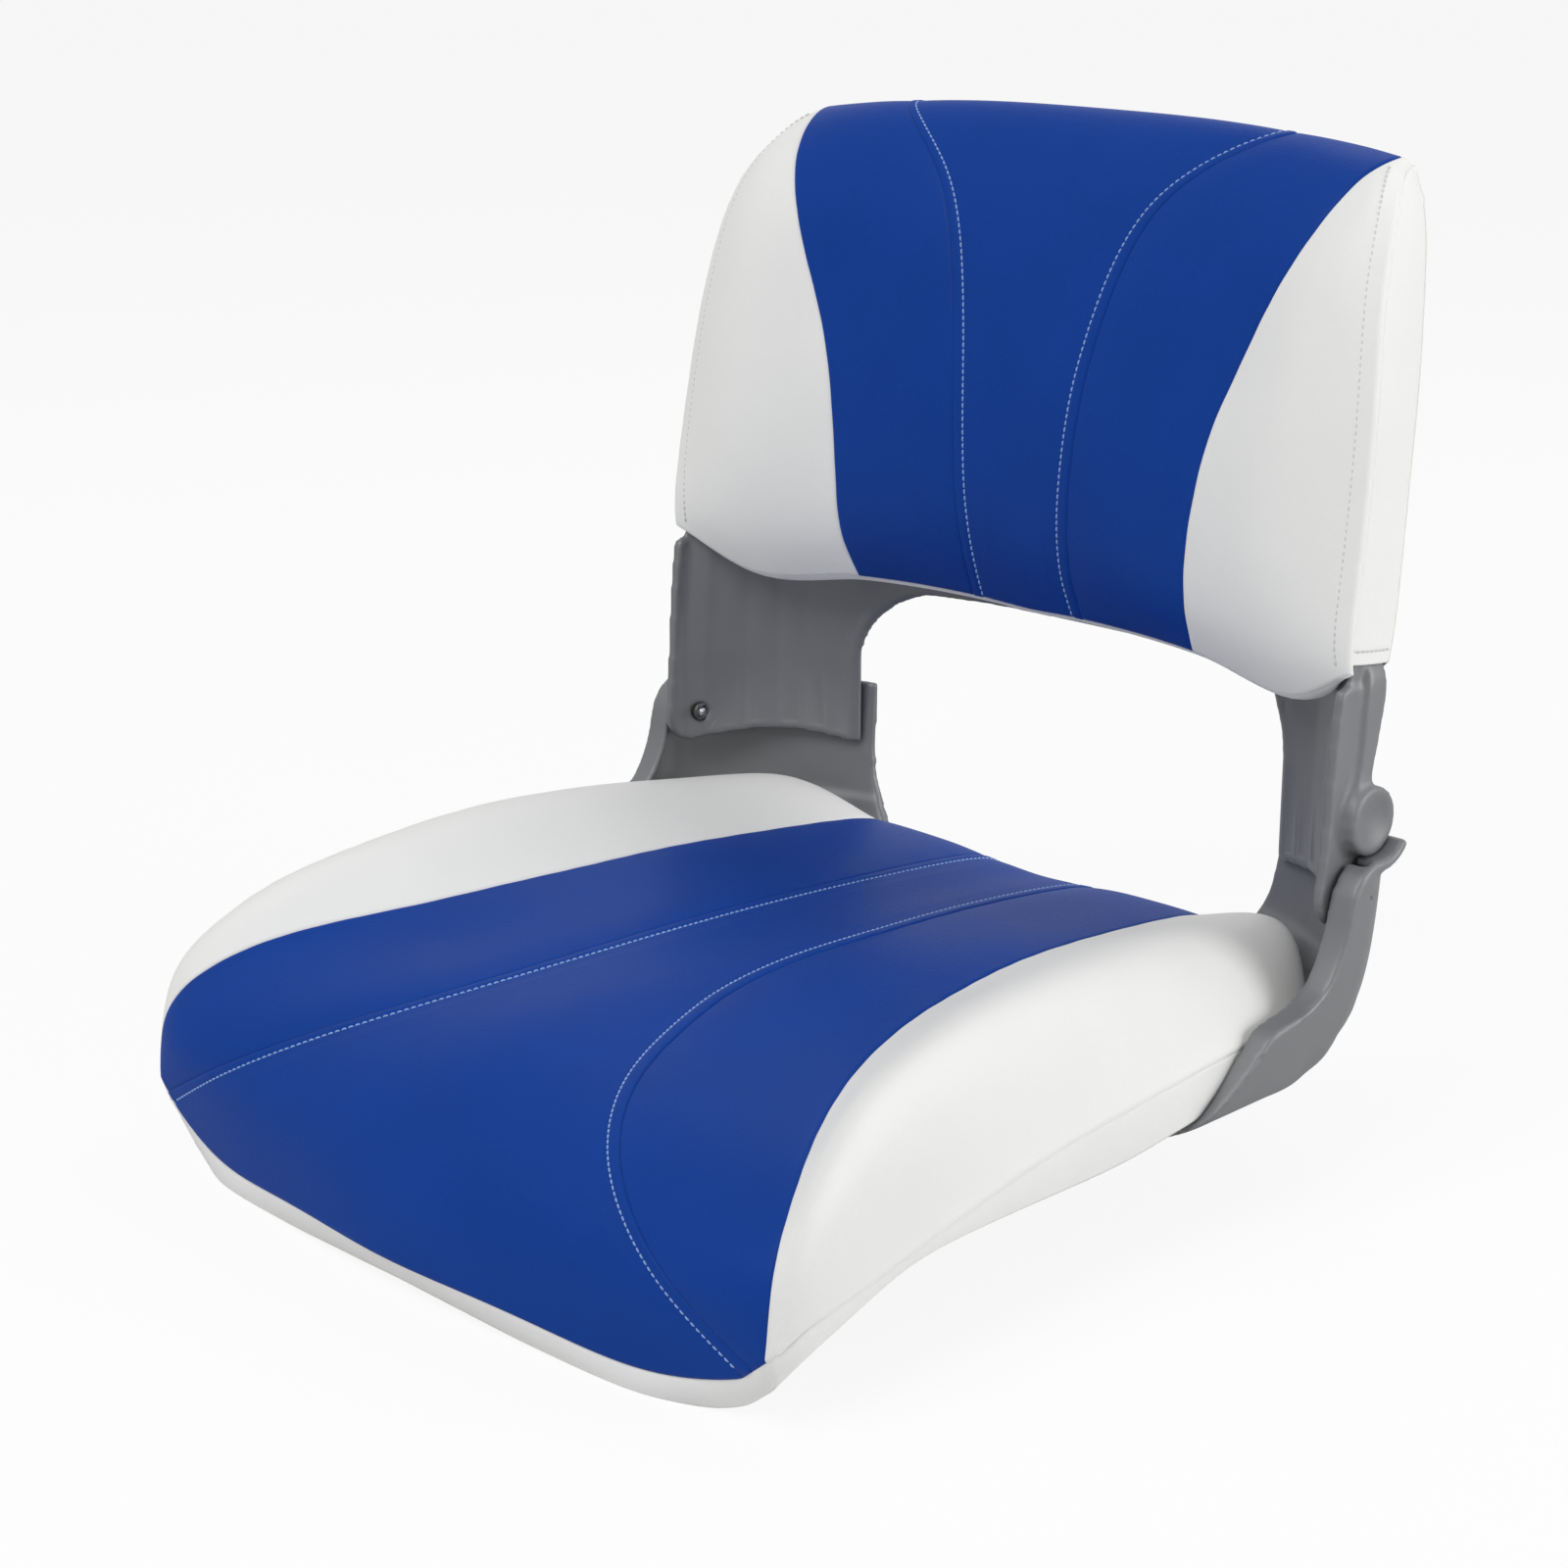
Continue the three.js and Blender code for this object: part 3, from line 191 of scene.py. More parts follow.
class Shader(Nodes):
    """A material's node tree, built round one Principled surface."""

    def __init__(self, name: str) -> None:
        """Starts a material with a bare Principled surface.

        Args:
            name: the material's name.
        """
        self.material = bpy.data.materials.new(name)
        super().__init__(self.material)
        self.surface = self.tree.nodes["Principled BSDF"]

    def feed(self, **inputs: object) -> None:
        """Sets inputs of the surface.

        Args:
            inputs: a value or wire for each socket, named as it is with spaces written as "_".
        """
        for key, value in inputs.items():
            self.connect(self.surface.inputs[key.replace("_", " ")], value)

    def place(self) -> Wire:
        """Where a point is on the object, in metres."""
        return self.node("ShaderNodeTexCoord", output="Object")

    def noise(self, size_mm: float, detail: float = 3.0, roughness: float = 0.5) -> Wire:
        """Soft noise from 0 to 1.

        Args:
            size_mm: about how far apart its lumps are.
            detail: how many finer layers it has.
            roughness: how strong the finer layers are.

        Returns:
            The noise.
        """
        inputs = {"Vector": self.place(), "Scale": 1.0 / (size_mm * MM)}
        inputs |= {"Detail": detail, "Roughness": roughness}
        return self.node("ShaderNodeTexNoise", inputs=inputs)

    def cells(self, size_mm: float, softness: float = 0.35) -> Wire:
        """Rounded cells.

        Args:
            size_mm: about how wide a cell is.
            softness: how far the cells run into each other.

        Returns:
            The distance from a cell's middle, 0 there and about 1 at its edge.
        """
        settings = {"feature": "SMOOTH_F1"}
        inputs = {"Vector": self.place(), "Scale": 1.0 / (size_mm * MM), "Smoothness": softness}
        return self.node("ShaderNodeTexVoronoi", settings, inputs, "Distance")

    def ramp(
        self, value: Wire, low: float, high: float, from_low: float = 0.3, from_high: float = 0.7
    ) -> Wire:
        """Turns a range of values smoothly into another range.

        Args:
            value: the values.
            low: the lowest result.
            high: the highest result.
            from_low: the value that gives the lowest result; noise is seldom lower than 0.3.
            from_high: the value that gives the highest result; noise is seldom over 0.7.

        Returns:
            The result.
        """
        inputs = {0: value, 1: from_low, 2: from_high, 3: low, 4: high}
        return self.node("ShaderNodeMapRange", {"interpolation_type": "SMOOTHSTEP"}, inputs)

    def mix(self, factor: Wire, first: object, second: object) -> Wire:
        """Mixes two colours.

        Args:
            factor: the second colour's share.
            first: a colour or a wire.
            second: a colour or a wire.

        Returns:
            The mixed colour.
        """
        settings = {"data_type": "RGBA"}
        return self.node("ShaderNodeMix", settings, {0: factor, 6: first, 7: second}, 2)

    def bump(self, height: Wire, depth_mm: float, strength: float) -> Wire:
        """A bumped normal.

        Args:
            height: the height map, from 0 to 1.
            depth_mm: how deep it goes.
            strength: how much of it shows.

        Returns:
            The normal.
        """
        inputs = {"Height": height, "Distance": depth_mm * MM, "Strength": strength}
        return self.node("ShaderNodeBump", inputs=inputs)


def tinted(colour: Colour, share: float) -> tuple[float, float, float, float]:
    """A colour made lighter or darker by a share, with full alpha."""
    red, green, blue = (min(channel * share, 1.0) for channel in colour)
    return red, green, blue, 1.0


# Finishes


@dataclass(frozen=True)
class Vinyl:
    """Marine upholstery vinyl with a fine pressed grain."""

    name: str
    slot: str
    colour: Colour
    roughness: float = 0.46
    gloss_swing: float = 0.03
    mottling: float = 0.04
    mottle_mm: float = 60.0
    fine_mm: float = 2.6
    blend: tuple[float, float] = (0.6, 0.4)
    grain_mm: float = 1.5
    grain_depth: float = 0.16
    grain_strength: float = 0.45
    relief: tuple[float, float] = (0.8, 0.35)
    specular: float = 0.12

    def material(self) -> bpy.types.Material:
        """Builds the material: grain in the normal, faint mottling in colour and gloss.

        Returns:
            The material.
        """
        shader = Shader(self.name)
        mottle = shader.noise(self.mottle_mm, detail=2.0)
        fine = shader.noise(self.fine_mm, roughness=0.6)
        grain = shader.cells(self.grain_mm)
        more, less = self.blend
        shade = shader.ramp(mottle * more + fine * less, 0.0, 1.0)
        gloss = shader.ramp(fine * more + mottle * less, -self.gloss_swing, self.gloss_swing)
        relief = grain * self.relief[0] + fine * self.relief[1]
        pale, deep = tinted(self.colour, 1 + self.mottling), tinted(self.colour, 1 - self.mottling)
        shader.feed(
            Base_Color=shader.mix(shade, deep, pale),
            Roughness=gloss + self.roughness,
            Normal=shader.bump(relief, self.grain_depth, self.grain_strength),
            Specular_IOR_Level=self.specular,
        )
        return shader.material


@dataclass(frozen=True)
class MouldedPlastic:
    """Grey injection-moulded plastic with a fine spark-eroded texture."""

    name: str = "moulded_grey_plastic"
    slot: str = "grey_plastic"
    colour: Colour = (0.135, 0.139, 0.148)
    tints: tuple[float, float] = (0.94, 1.06)
    roughness: float = 0.46
    gloss_swing: float = 0.06
    specular: float = 0.85
    speckle_mm: float = 0.9
    speckle_depth: float = 0.08
    speckle_strength: float = 0.35
    flow_mm: float = 70.0

    def material(self) -> bpy.types.Material:
        """Builds the material: fine texture, and slow changes of gloss.

        Returns:
            The material.
        """
        shader = Shader(self.name)
        speckle = shader.noise(self.speckle_mm, detail=2.0, roughness=0.6)
        flow = shader.noise(self.flow_mm, detail=2.0)
        deep, pale = (tinted(self.colour, tint) for tint in self.tints)
        shader.feed(
            Base_Color=shader.mix(flow, deep, pale),
            Roughness=shader.ramp(flow, -self.gloss_swing, self.gloss_swing) + self.roughness,
            Normal=shader.bump(speckle, self.speckle_depth, self.speckle_strength),
            Specular_IOR_Level=self.specular,
        )
        return shader.material


@dataclass(frozen=True)
class Thread:
    """Twisted polyester sewing thread."""

    name: str = "pale_thread"
    slot: str = "vinyl_blue"
    colour: Colour = (0.25, 0.4, 0.74)
    tints: tuple[float, float] = (0.8, 1.1)
    roughness: float = 0.7
    fibre_mm: float = 0.35
    fibre_depth: float = 0.1
    fibre_strength: float = 0.4

    def material(self) -> bpy.types.Material:
        """Builds the material, with a fibre texture.

        Returns:
            The material.
        """
        shader = Shader(self.name)
        fibres = shader.noise(self.fibre_mm, detail=2.0)
        deep, pale = (tinted(self.colour, tint) for tint in self.tints)
        shader.feed(
            Base_Color=shader.mix(fibres, deep, pale),
            Roughness=self.roughness,
            Normal=shader.bump(fibres, self.fibre_depth, self.fibre_strength),
        )
        return shader.material


@dataclass(frozen=True)
class Metal:
    """Turned metal with fine marks."""

    name: str
    slot: str
    colour: Colour
    roughness: float
    tints: tuple[float, float] = (0.88, 1.06)
    gloss_swing: float = 0.08
    mark_mm: float = 1.5
    mark_depth: float = 0.03
    mark_strength: float = 0.3

    def material(self) -> bpy.types.Material:
        """Builds the material, with uneven gloss.

        Returns:
            The material.
        """
        shader = Shader(self.name)
        marks = shader.noise(self.mark_mm, detail=4.0, roughness=0.7)
        deep, pale = (tinted(self.colour, tint) for tint in self.tints)
        shader.feed(
            Base_Color=shader.mix(marks, deep, pale),
            Metallic=1.0,
            Roughness=shader.ramp(marks, -self.gloss_swing, self.gloss_swing) + self.roughness,
            Normal=shader.bump(marks, self.mark_depth, self.mark_strength),
        )
        return shader.material


@dataclass(frozen=True)
class Plywood:
    """Sealed plywood, its grain along X."""

    name: str = "sealed_plywood"
    slot: str = "board"
    colour: Colour = (0.462, 0.262, 0.102)
    tints: tuple[float, float] = (0.55, 1.2)
    roughness: float = 0.6
    streaks_per_metre: tuple[float, float, float] = (8.0, 160.0, 160.0)
    streak_depth: float = 0.2
    streak_strength: float = 0.4

    def material(self) -> bpy.types.Material:
        """Builds the material, with long streaks of grain.

        Returns:
            The material.
        """
        shader = Shader(self.name)
        place = {"Vector": shader.place(), "Scale": self.streaks_per_metre}
        stretched = shader.node("ShaderNodeMapping", inputs=place)
        inputs = {"Vector": stretched, "Scale": 1.0, "Detail": 5.0}
        streaks = shader.node("ShaderNodeTexNoise", inputs=inputs)
        deep, pale = (tinted(self.colour, tint) for tint in self.tints)
        shader.feed(
            Base_Color=shader.mix(streaks, deep, pale),
            Roughness=self.roughness,
            Normal=shader.bump(streaks, self.streak_depth, self.streak_strength),
        )
        return shader.material


class Finish(Enum):
    """The finishes that the seat has."""

    BLUE = Vinyl("blue_vinyl", "vinyl_blue", (0.0065, 0.0462, 0.2747), grain_depth=0.22, specular=0.06)
    WHITE = Vinyl("white_vinyl", "vinyl_white", (0.807, 0.807, 0.791), grain_depth=0.08, mottling=0.012)
    PLASTIC = MouldedPlastic()
    THREAD = Thread()
    WHITE_THREAD = Thread("white_thread", "vinyl_white", (0.66, 0.66, 0.65))
    STEEL = Metal("stainless_steel", "steel", (0.485, 0.497, 0.509), 0.32)
    # Dark steel whose darkness is painted shade: it lines the screw recesses, where there is only shade
    PAINTED_SHADE_STEEL = Metal("steel_painted_shade", "steel", (0.09, 0.092, 0.096), 0.5)
    BRASS = Metal("brass", "brass", (0.462, 0.287, 0.05), 0.36)
    BOARD = Plywood()


class Palette:
    """Makes each finish's material once and hands it out."""

    def __init__(self) -> None:
        """Starts with no materials made."""
        self.made: dict[Finish, bpy.types.Material] = {}

    def material(self, finish: Finish) -> bpy.types.Material:
        """The material of a finish, made at its first use.

        Args:
            finish: the finish.

        Returns:
            The material.
        """
        if finish not in self.made:
            self.made[finish] = finish.value.material()
        return self.made[finish]

    def dress(self, thing: bpy.types.Object, finish: Finish) -> None:
        """Gives a whole object one finish.

        Args:
            thing: the object.
            finish: what it is made of.
        """
        thing.data.materials.clear()
        thing.data.materials.append(self.material(finish))


# Meshes


@dataclass
class Piece:
    """A new mesh object of the seat.

    It rides on a body, may stand for nodes of the frame, and a padded one has a share of filling.
    """

    name: str
    body: str
    finish: Finish
    stands_for: Sequence[str] = ()
    fill: float | None = None

    def build(
        self,
        palette: Palette,
        points: Array,
        faces: Sequence[Face],
        thickness: float = 0.0,
    ) -> bpy.types.Object:
        """Makes the mesh and its object.

        Args:
            palette: where the material comes from.
            points: the vertices, in millimetres, one row each.
            faces: each face's vertices.
            thickness: how thick a sheet is made, behind its faces; 0 for a mesh that is closed.

        Returns:
            The object, riding on its body.
        """
        mesh = bpy.data.meshes.new(self.name)
        mesh.from_pydata((points * MM).tolist(), [], [list(map(int, face)) for face in faces])
        mesh.validate()
        mesh.shade_smooth()
        thing = bpy.data.objects.new(self.name, mesh)
        bpy.context.scene.collection.objects.link(thing)
        if thickness:
            wall = thing.modifiers.new("wall", "SOLIDIFY")
            wall.thickness = thickness * MM
            wall.offset = -1.0
        return self.settle(palette, thing)

    def settle(self, palette: Palette, thing: bpy.types.Object) -> bpy.types.Object:
        """Dresses an object, ties it to its body and hides the frame's nodes that it stands for.

        Args:
            palette: where the material comes from.
            thing: the object.

        Returns:
            The same object.
        """
        palette.dress(thing, self.finish)
        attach(thing, self.body)
        if self.stands_for:
            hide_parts(*self.stands_for)
        log.info("piece %s: %d vertices", self.name, len(thing.data.vertices))
        return thing


def grid_faces(rows: int, columns: int, flip: bool = False) -> list[Face]:
    """The quads of a grid of points that is stored row by row.

    Args:
        rows: how many rows it has.
        columns: how many points a row has.
        flip: whether the faces look the other way.

    Returns:
        The faces.
    """
    faces = []
    for row in range(rows - 1):
        for column in range(columns - 1):
            a = row * columns + column
            quad = (a, a + 1, a + columns + 1, a + columns)
            faces.append(quad[::-1] if flip else quad)
    return faces


def rail(points: Array, places: Array) -> Array:
    """A smooth curve through points.

    Args:
        points: the points that the curve meets at 0, 1, 2 and so on.
        places: where along the curve, in the same count.

    Returns:
        One point for each place.
    """
    padded = np.vstack([2 * points[0] - points[1], points, 2 * points[-1] - points[-2]])
    low = np.clip(np.floor(places).astype(int), 0, len(points) - 2)
    share = (places - low)[..., None]
    before, start, end, after = (padded[low + k] for k in range(4))
    return hermite(start, end, (end - before) / 2, (after - start) / 2, share)


def hermite(start: Array, end: Array, leave: Array, arrive: Array, share: Array) -> Array:
    """A cubic between two points.

    Args:
        start: its first point.
        end: its last point.
        leave: its direction at the first point.
        arrive: its direction at the last point.
        share: how far along it the result lies, from 0 to 1.

    Returns:
        The points there.
    """
    square, cube = share**2, share**3
    return (
        (2 * cube - 3 * square + 1) * start
        + (cube - 2 * square + share) * leave
        + (3 * square - 2 * cube) * end
        + (cube - square) * arrive
    )


def unit(vectors: Array) -> Array:
    """The vectors at length 1."""
    length = np.linalg.norm(vectors, axis=-1, keepdims=True)
    return vectors / np.maximum(length, TINY)


def travel(points: Array) -> Array:
    """How far along a line each of its points is."""
    return np.concatenate([[0.0], np.cumsum(np.linalg.norm(np.diff(points, axis=0), axis=-1))])


def dense(rows: Sequence[Sequence[float]], count: int = 16) -> Array:
    """A table's rows with smooth ones between them."""
    table = np.array(rows, float)
    return rail(table, np.linspace(0, len(table) - 1, (len(table) - 1) * count + 1))


def look_up(table: Array, key: Array, column: int = 1) -> Array:
    """A column of a dense table, at values of its first column."""
    return np.interp(key, np.maximum.accumulate(table[:, 0]), table[:, column])


def ease(value: Array, low: float, high: float) -> Array:
    """A smooth step from 0 at low to 1 at high."""
    share = np.clip((value - low) / (high - low), 0.0, 1.0)
    return share * share * (3 - 2 * share)


def rolled(distance: Array, radius: float) -> Array:
    """How far a folded edge has dropped, at distances from it, when it rolls over a radius."""
    short = radius - np.minimum(distance, radius)
    return radius - np.sqrt(np.maximum(radius**2 - short**2, 0))


def outward(sheet: Array, body: str) -> tuple[Array, float]:
    """Which way is out for each point of a sheet, seen from the middle of its cushion.

    Args:
        sheet: points as (columns, rows, 3).
        body: the cushion's body.

    Returns:
        A direction of length 1 for each point, and -1 where these had to be turned round, or 1.
    """
    normal = unit(np.cross(np.gradient(sheet, axis=0), np.gradient(sheet, axis=1)))
    sign = float(np.sign(np.sum(normal * (sheet - np.array(CUSHION_MIDDLES[body])))))
    return normal * sign, sign


def tube_faces(rings: int, count: int) -> list[Face]:
    """The faces of a tube, closed at both ends.

    Args:
        rings: how many rings of points it has.
        count: how many points a ring has.

    Returns:
        The faces.
    """
    faces = []
    for ring in range(rings - 1):
        for k in range(count):
            a = ring * count + k
            b = ring * count + (k + 1) % count
            faces.append((a, b, b + count, a + count))
    return faces + [tuple(range(count))[::-1], tuple(range((rings - 1) * count, rings * count))]


def merge(parts: Sequence[Mesh]) -> Mesh:
    """Joins several sets of vertices and faces into one.

    Args:
        parts: the sets.

    Returns:
        All vertices, and the faces with their numbers in them.
    """
    points: list[Array] = []
    faces: list[Face] = []
    count = 0
    for part_points, part_faces in parts:
        points.append(part_points)
        faces.extend(tuple(i + count for i in face) for face in part_faces)
        count += len(part_points)
    return np.vstack(points), faces


# Cushion surfaces

# Values of t on the nine lines: the middle one, and four on each side
KNOTS = np.array([-3.0, -2.5, -2.0, -1.0, 0.0, 1.0, 2.0, 2.5, 3.0])
HALF_LINES = ("centre", "stitch", "edge", "crest", "seam")


class LineTable(Enum):
    """Lines along a cushion, as shares of its half width, reach and height."""

    SEAT_TOP = {
        "centre": (
            (0, 0.771, 0.623), (0, 0.753, 0.73), (0, 0.694, 0.836), (0, 0.361, 0.926),
            (0, 0.097, 0.967), (0, -0.125, 0.984), (0, -0.33, 0.984), (0, -0.521, 0.967),
            (0, -0.712, 0.902), (0, -0.868, 0.738), (0, -0.965, 0.459), (0, -1, 0.164),
        ),
        "stitch": (
            (0.14, 0.767, 0.631), (0.14, 0.747, 0.746), (0.14, 0.688, 0.861), (0.134, 0.358, 0.943),
            (0.142, 0.099, 0.98), (0.146, -0.125, 1), (0.166, -0.309, 0.992), (0.208, -0.465, 0.959),
            (0.3, -0.677, 0.881), (0.46, -0.837, 0.73), (0.676, -0.913, 0.492), (0.896, -0.892, 0.221),
        ),
        "edge": (
            (0.504, 0.688, 0.689), (0.508, 0.705, 0.795), (0.506, 0.677, 0.906), (0.518, 0.358, 0.996),
            (0.54, 0.108, 1.041), (0.572, -0.09, 1.041), (0.612, -0.26, 1.033), (0.68, -0.444, 1),
            (0.78, -0.618, 0.951), (0.872, -0.756, 0.852), (0.941, -0.866, 0.655), (0.946, -0.889, 0.311),
        ),
        "crest": (
            (0.744, 0.625, 0.803), (0.76, 0.646, 0.918), (0.776, 0.618, 1.025), (0.82, 0.375, 1.098),
            (0.848, 0.156, 1.164), (0.856, -0.069, 1.213), (0.86, -0.243, 1.217), (0.868, -0.424, 1.18),
            (0.888, -0.597, 1.107), (0.93, -0.724, 0.967), (0.973, -0.832, 0.745), (0.957, -0.88, 0.335),
        ),
        "seam": (
            (0.904, 0.549, 0.738), (0.944, 0.521, 0.77), (0.972, 0.469, 0.795), (1, 0.347, 0.828),
            (1, 0.174, 0.803), (1, -0.052, 0.758), (1, -0.243, 0.717), (1, -0.417, 0.648),
            (1, -0.59, 0.566), (1, -0.729, 0.496), (0.992, -0.826, 0.443), (0.962, -0.872, 0.34),
        ),
    }
    SEAT_FLOOR = {
        "centre": (
            (0, 0.736, 0.582), (0, 0.708, 0.5), (0, 0.66, 0.5), (0, 0.361, 0.5), (0, 0.097, 0.5),
            (0, -0.125, 0.5), (0, -0.33, 0.5), (0, -0.521, 0.5), (0, -0.694, 0.5), (0, -0.823, 0.5),
            (0, -0.844, 0.246), (0, -0.955, 0.02),
        ),
        "stitch": (
            (0.14, 0.733, 0.582), (0.14, 0.705, 0.5), (0.14, 0.656, 0.5), (0.134, 0.358, 0.5),
            (0.142, 0.097, 0.5), (0.146, -0.125, 0.5), (0.166, -0.309, 0.5), (0.208, -0.465, 0.5),
            (0.3, -0.66, 0.5), (0.45, -0.792, 0.5), (0.64, -0.826, 0.262), (0.836, -0.862, 0.03),
        ),
        "edge": (
            (0.496, 0.66, 0.59), (0.496, 0.618, 0.508), (0.496, 0.59, 0.5), (0.518, 0.358, 0.5),
            (0.54, 0.108, 0.5), (0.572, -0.09, 0.5), (0.612, -0.26, 0.5), (0.672, -0.438, 0.5),
            (0.76, -0.597, 0.5), (0.828, -0.705, 0.492), (0.884, -0.785, 0.369), (0.908, -0.858, 0.13),
        ),
        "crest": (
            (0.72, 0.549, 0.656), (0.736, 0.507, 0.574), (0.752, 0.479, 0.541), (0.812, 0.375, 0.516),
            (0.828, 0.156, 0.508), (0.832, -0.069, 0.508), (0.836, -0.243, 0.508), (0.844, -0.417, 0.508),
            (0.86, -0.583, 0.5), (0.888, -0.681, 0.459), (0.92, -0.781, 0.369), (0.92, -0.861, 0.213),
        ),
        "seam": (
            (0.888, 0.493, 0.672), (0.928, 0.458, 0.656), (0.96, 0.417, 0.631), (0.996, 0.347, 0.615),
            (0.996, 0.174, 0.582), (0.996, -0.052, 0.525), (0.996, -0.243, 0.525), (0.996, -0.417, 0.529),
            (0.996, -0.59, 0.512), (0.996, -0.722, 0.418), (0.988, -0.833, 0.31), (0.948, -0.8715, 0.18),
        ),
    }
    BACK_LOOP = {
        "centre": (
            (0, 0.75, 0.488), (0, 0.703, 0.545), (0, 0.684, 0.615), (0, 0.691, 0.706), (0, 0.715, 0.776),
            (0, 0.758, 0.862), (0, 0.801, 0.928), (0, 0.859, 0.978), (0, 0.935, 1),
            (0, 0.99, 0.985), (0, 1.01, 0.932), (0, 0.99, 0.862), (0, 0.98, 0.776), (0, 0.98, 0.706),
            (0, 0.98, 0.615), (0, 0.98, 0.545), (0, 0.98, 0.488),
        ),
        "stitch": (
            (0.135, 0.746, 0.49), (0.131, 0.699, 0.545), (0.139, 0.676, 0.615), (0.153, 0.684, 0.706),
            (0.175, 0.707, 0.776), (0.222, 0.746, 0.862), (0.299, 0.789, 0.927), (0.43, 0.844, 0.972),
            (0.53, 0.915, 0.993),
            (0.478, 0.975, 0.981), (0.438, 0.995, 0.93), (0.414, 0.97, 0.864), (0.402, 0.95, 0.776),
            (0.398, 0.95, 0.706), (0.398, 0.95, 0.615), (0.398, 0.95, 0.545), (0.398, 0.95, 0.49),
        ),
        "edge": (
            (0.502, 0.711, 0.488), (0.514, 0.656, 0.543), (0.522, 0.648, 0.615), (0.554, 0.662, 0.706),
            (0.61, 0.684, 0.776), (0.689, 0.697, 0.857), (0.761, 0.75, 0.925), (0.801, 0.84, 0.967),
            (0.825, 0.929, 0.978),
            (0.789, 0.952, 0.971), (0.749, 0.945, 0.927), (0.717, 0.91, 0.864), (0.701, 0.88, 0.776),
            (0.697, 0.86, 0.703), (0.697, 0.85, 0.611), (0.697, 0.85, 0.545), (0.697, 0.85, 0.488),
        ),
        "crest": (
            (0.821, 0.648, 0.477), (0.817, 0.594, 0.536), (0.817, 0.578, 0.611), (0.821, 0.598, 0.703),
            (0.825, 0.625, 0.776), (0.833, 0.664, 0.861), (0.849, 0.738, 0.925), (0.841, 0.844, 0.965),
            (0.829, 0.938, 0.976),
            (0.829, 0.935, 0.965), (0.837, 0.905, 0.927), (0.853, 0.865, 0.864), (0.873, 0.83, 0.776),
            (0.88, 0.805, 0.699), (0.884, 0.79, 0.609), (0.884, 0.785, 0.545), (0.884, 0.78, 0.477),
        ),
        "seam": (
            (1, 0.582, 0.519), (1, 0.578, 0.55), (1, 0.596, 0.606), (0.992, 0.627, 0.695),
            (0.978, 0.656, 0.776), (0.95, 0.701, 0.864), (0.92, 0.77, 0.923), (0.865, 0.867, 0.96),
            (0.833, 0.943, 0.972),
            (0.865, 0.925, 0.96), (0.92, 0.88, 0.923), (0.95, 0.845, 0.864), (0.978, 0.804, 0.776),
            (0.991, 0.772, 0.695), (1, 0.746, 0.606), (1, 0.735, 0.55), (1, 0.72, 0.519),
        ),
    }


def faired(line: Array, reach: int) -> Array:
    """A dense line with its small kinks smoothed out and its ends kept.

    Args:
        line: evenly spaced points.
        reach: how far, in points, the averaging reaches to each side.

    Returns:
        The smoothed points.
    """
    weights = np.exp(-0.5 * (np.arange(-2 * reach, 2 * reach + 1) / reach) ** 2)
    weights /= weights.sum()
    before = 2 * line[0] - line[2 * reach : 0 : -1]
    after = 2 * line[-1] - line[-2 : -2 * reach - 2 : -1]
    padded = np.vstack([before, line, after])
    return np.array([np.convolve(column, weights, "valid") for column in padded.T]).T


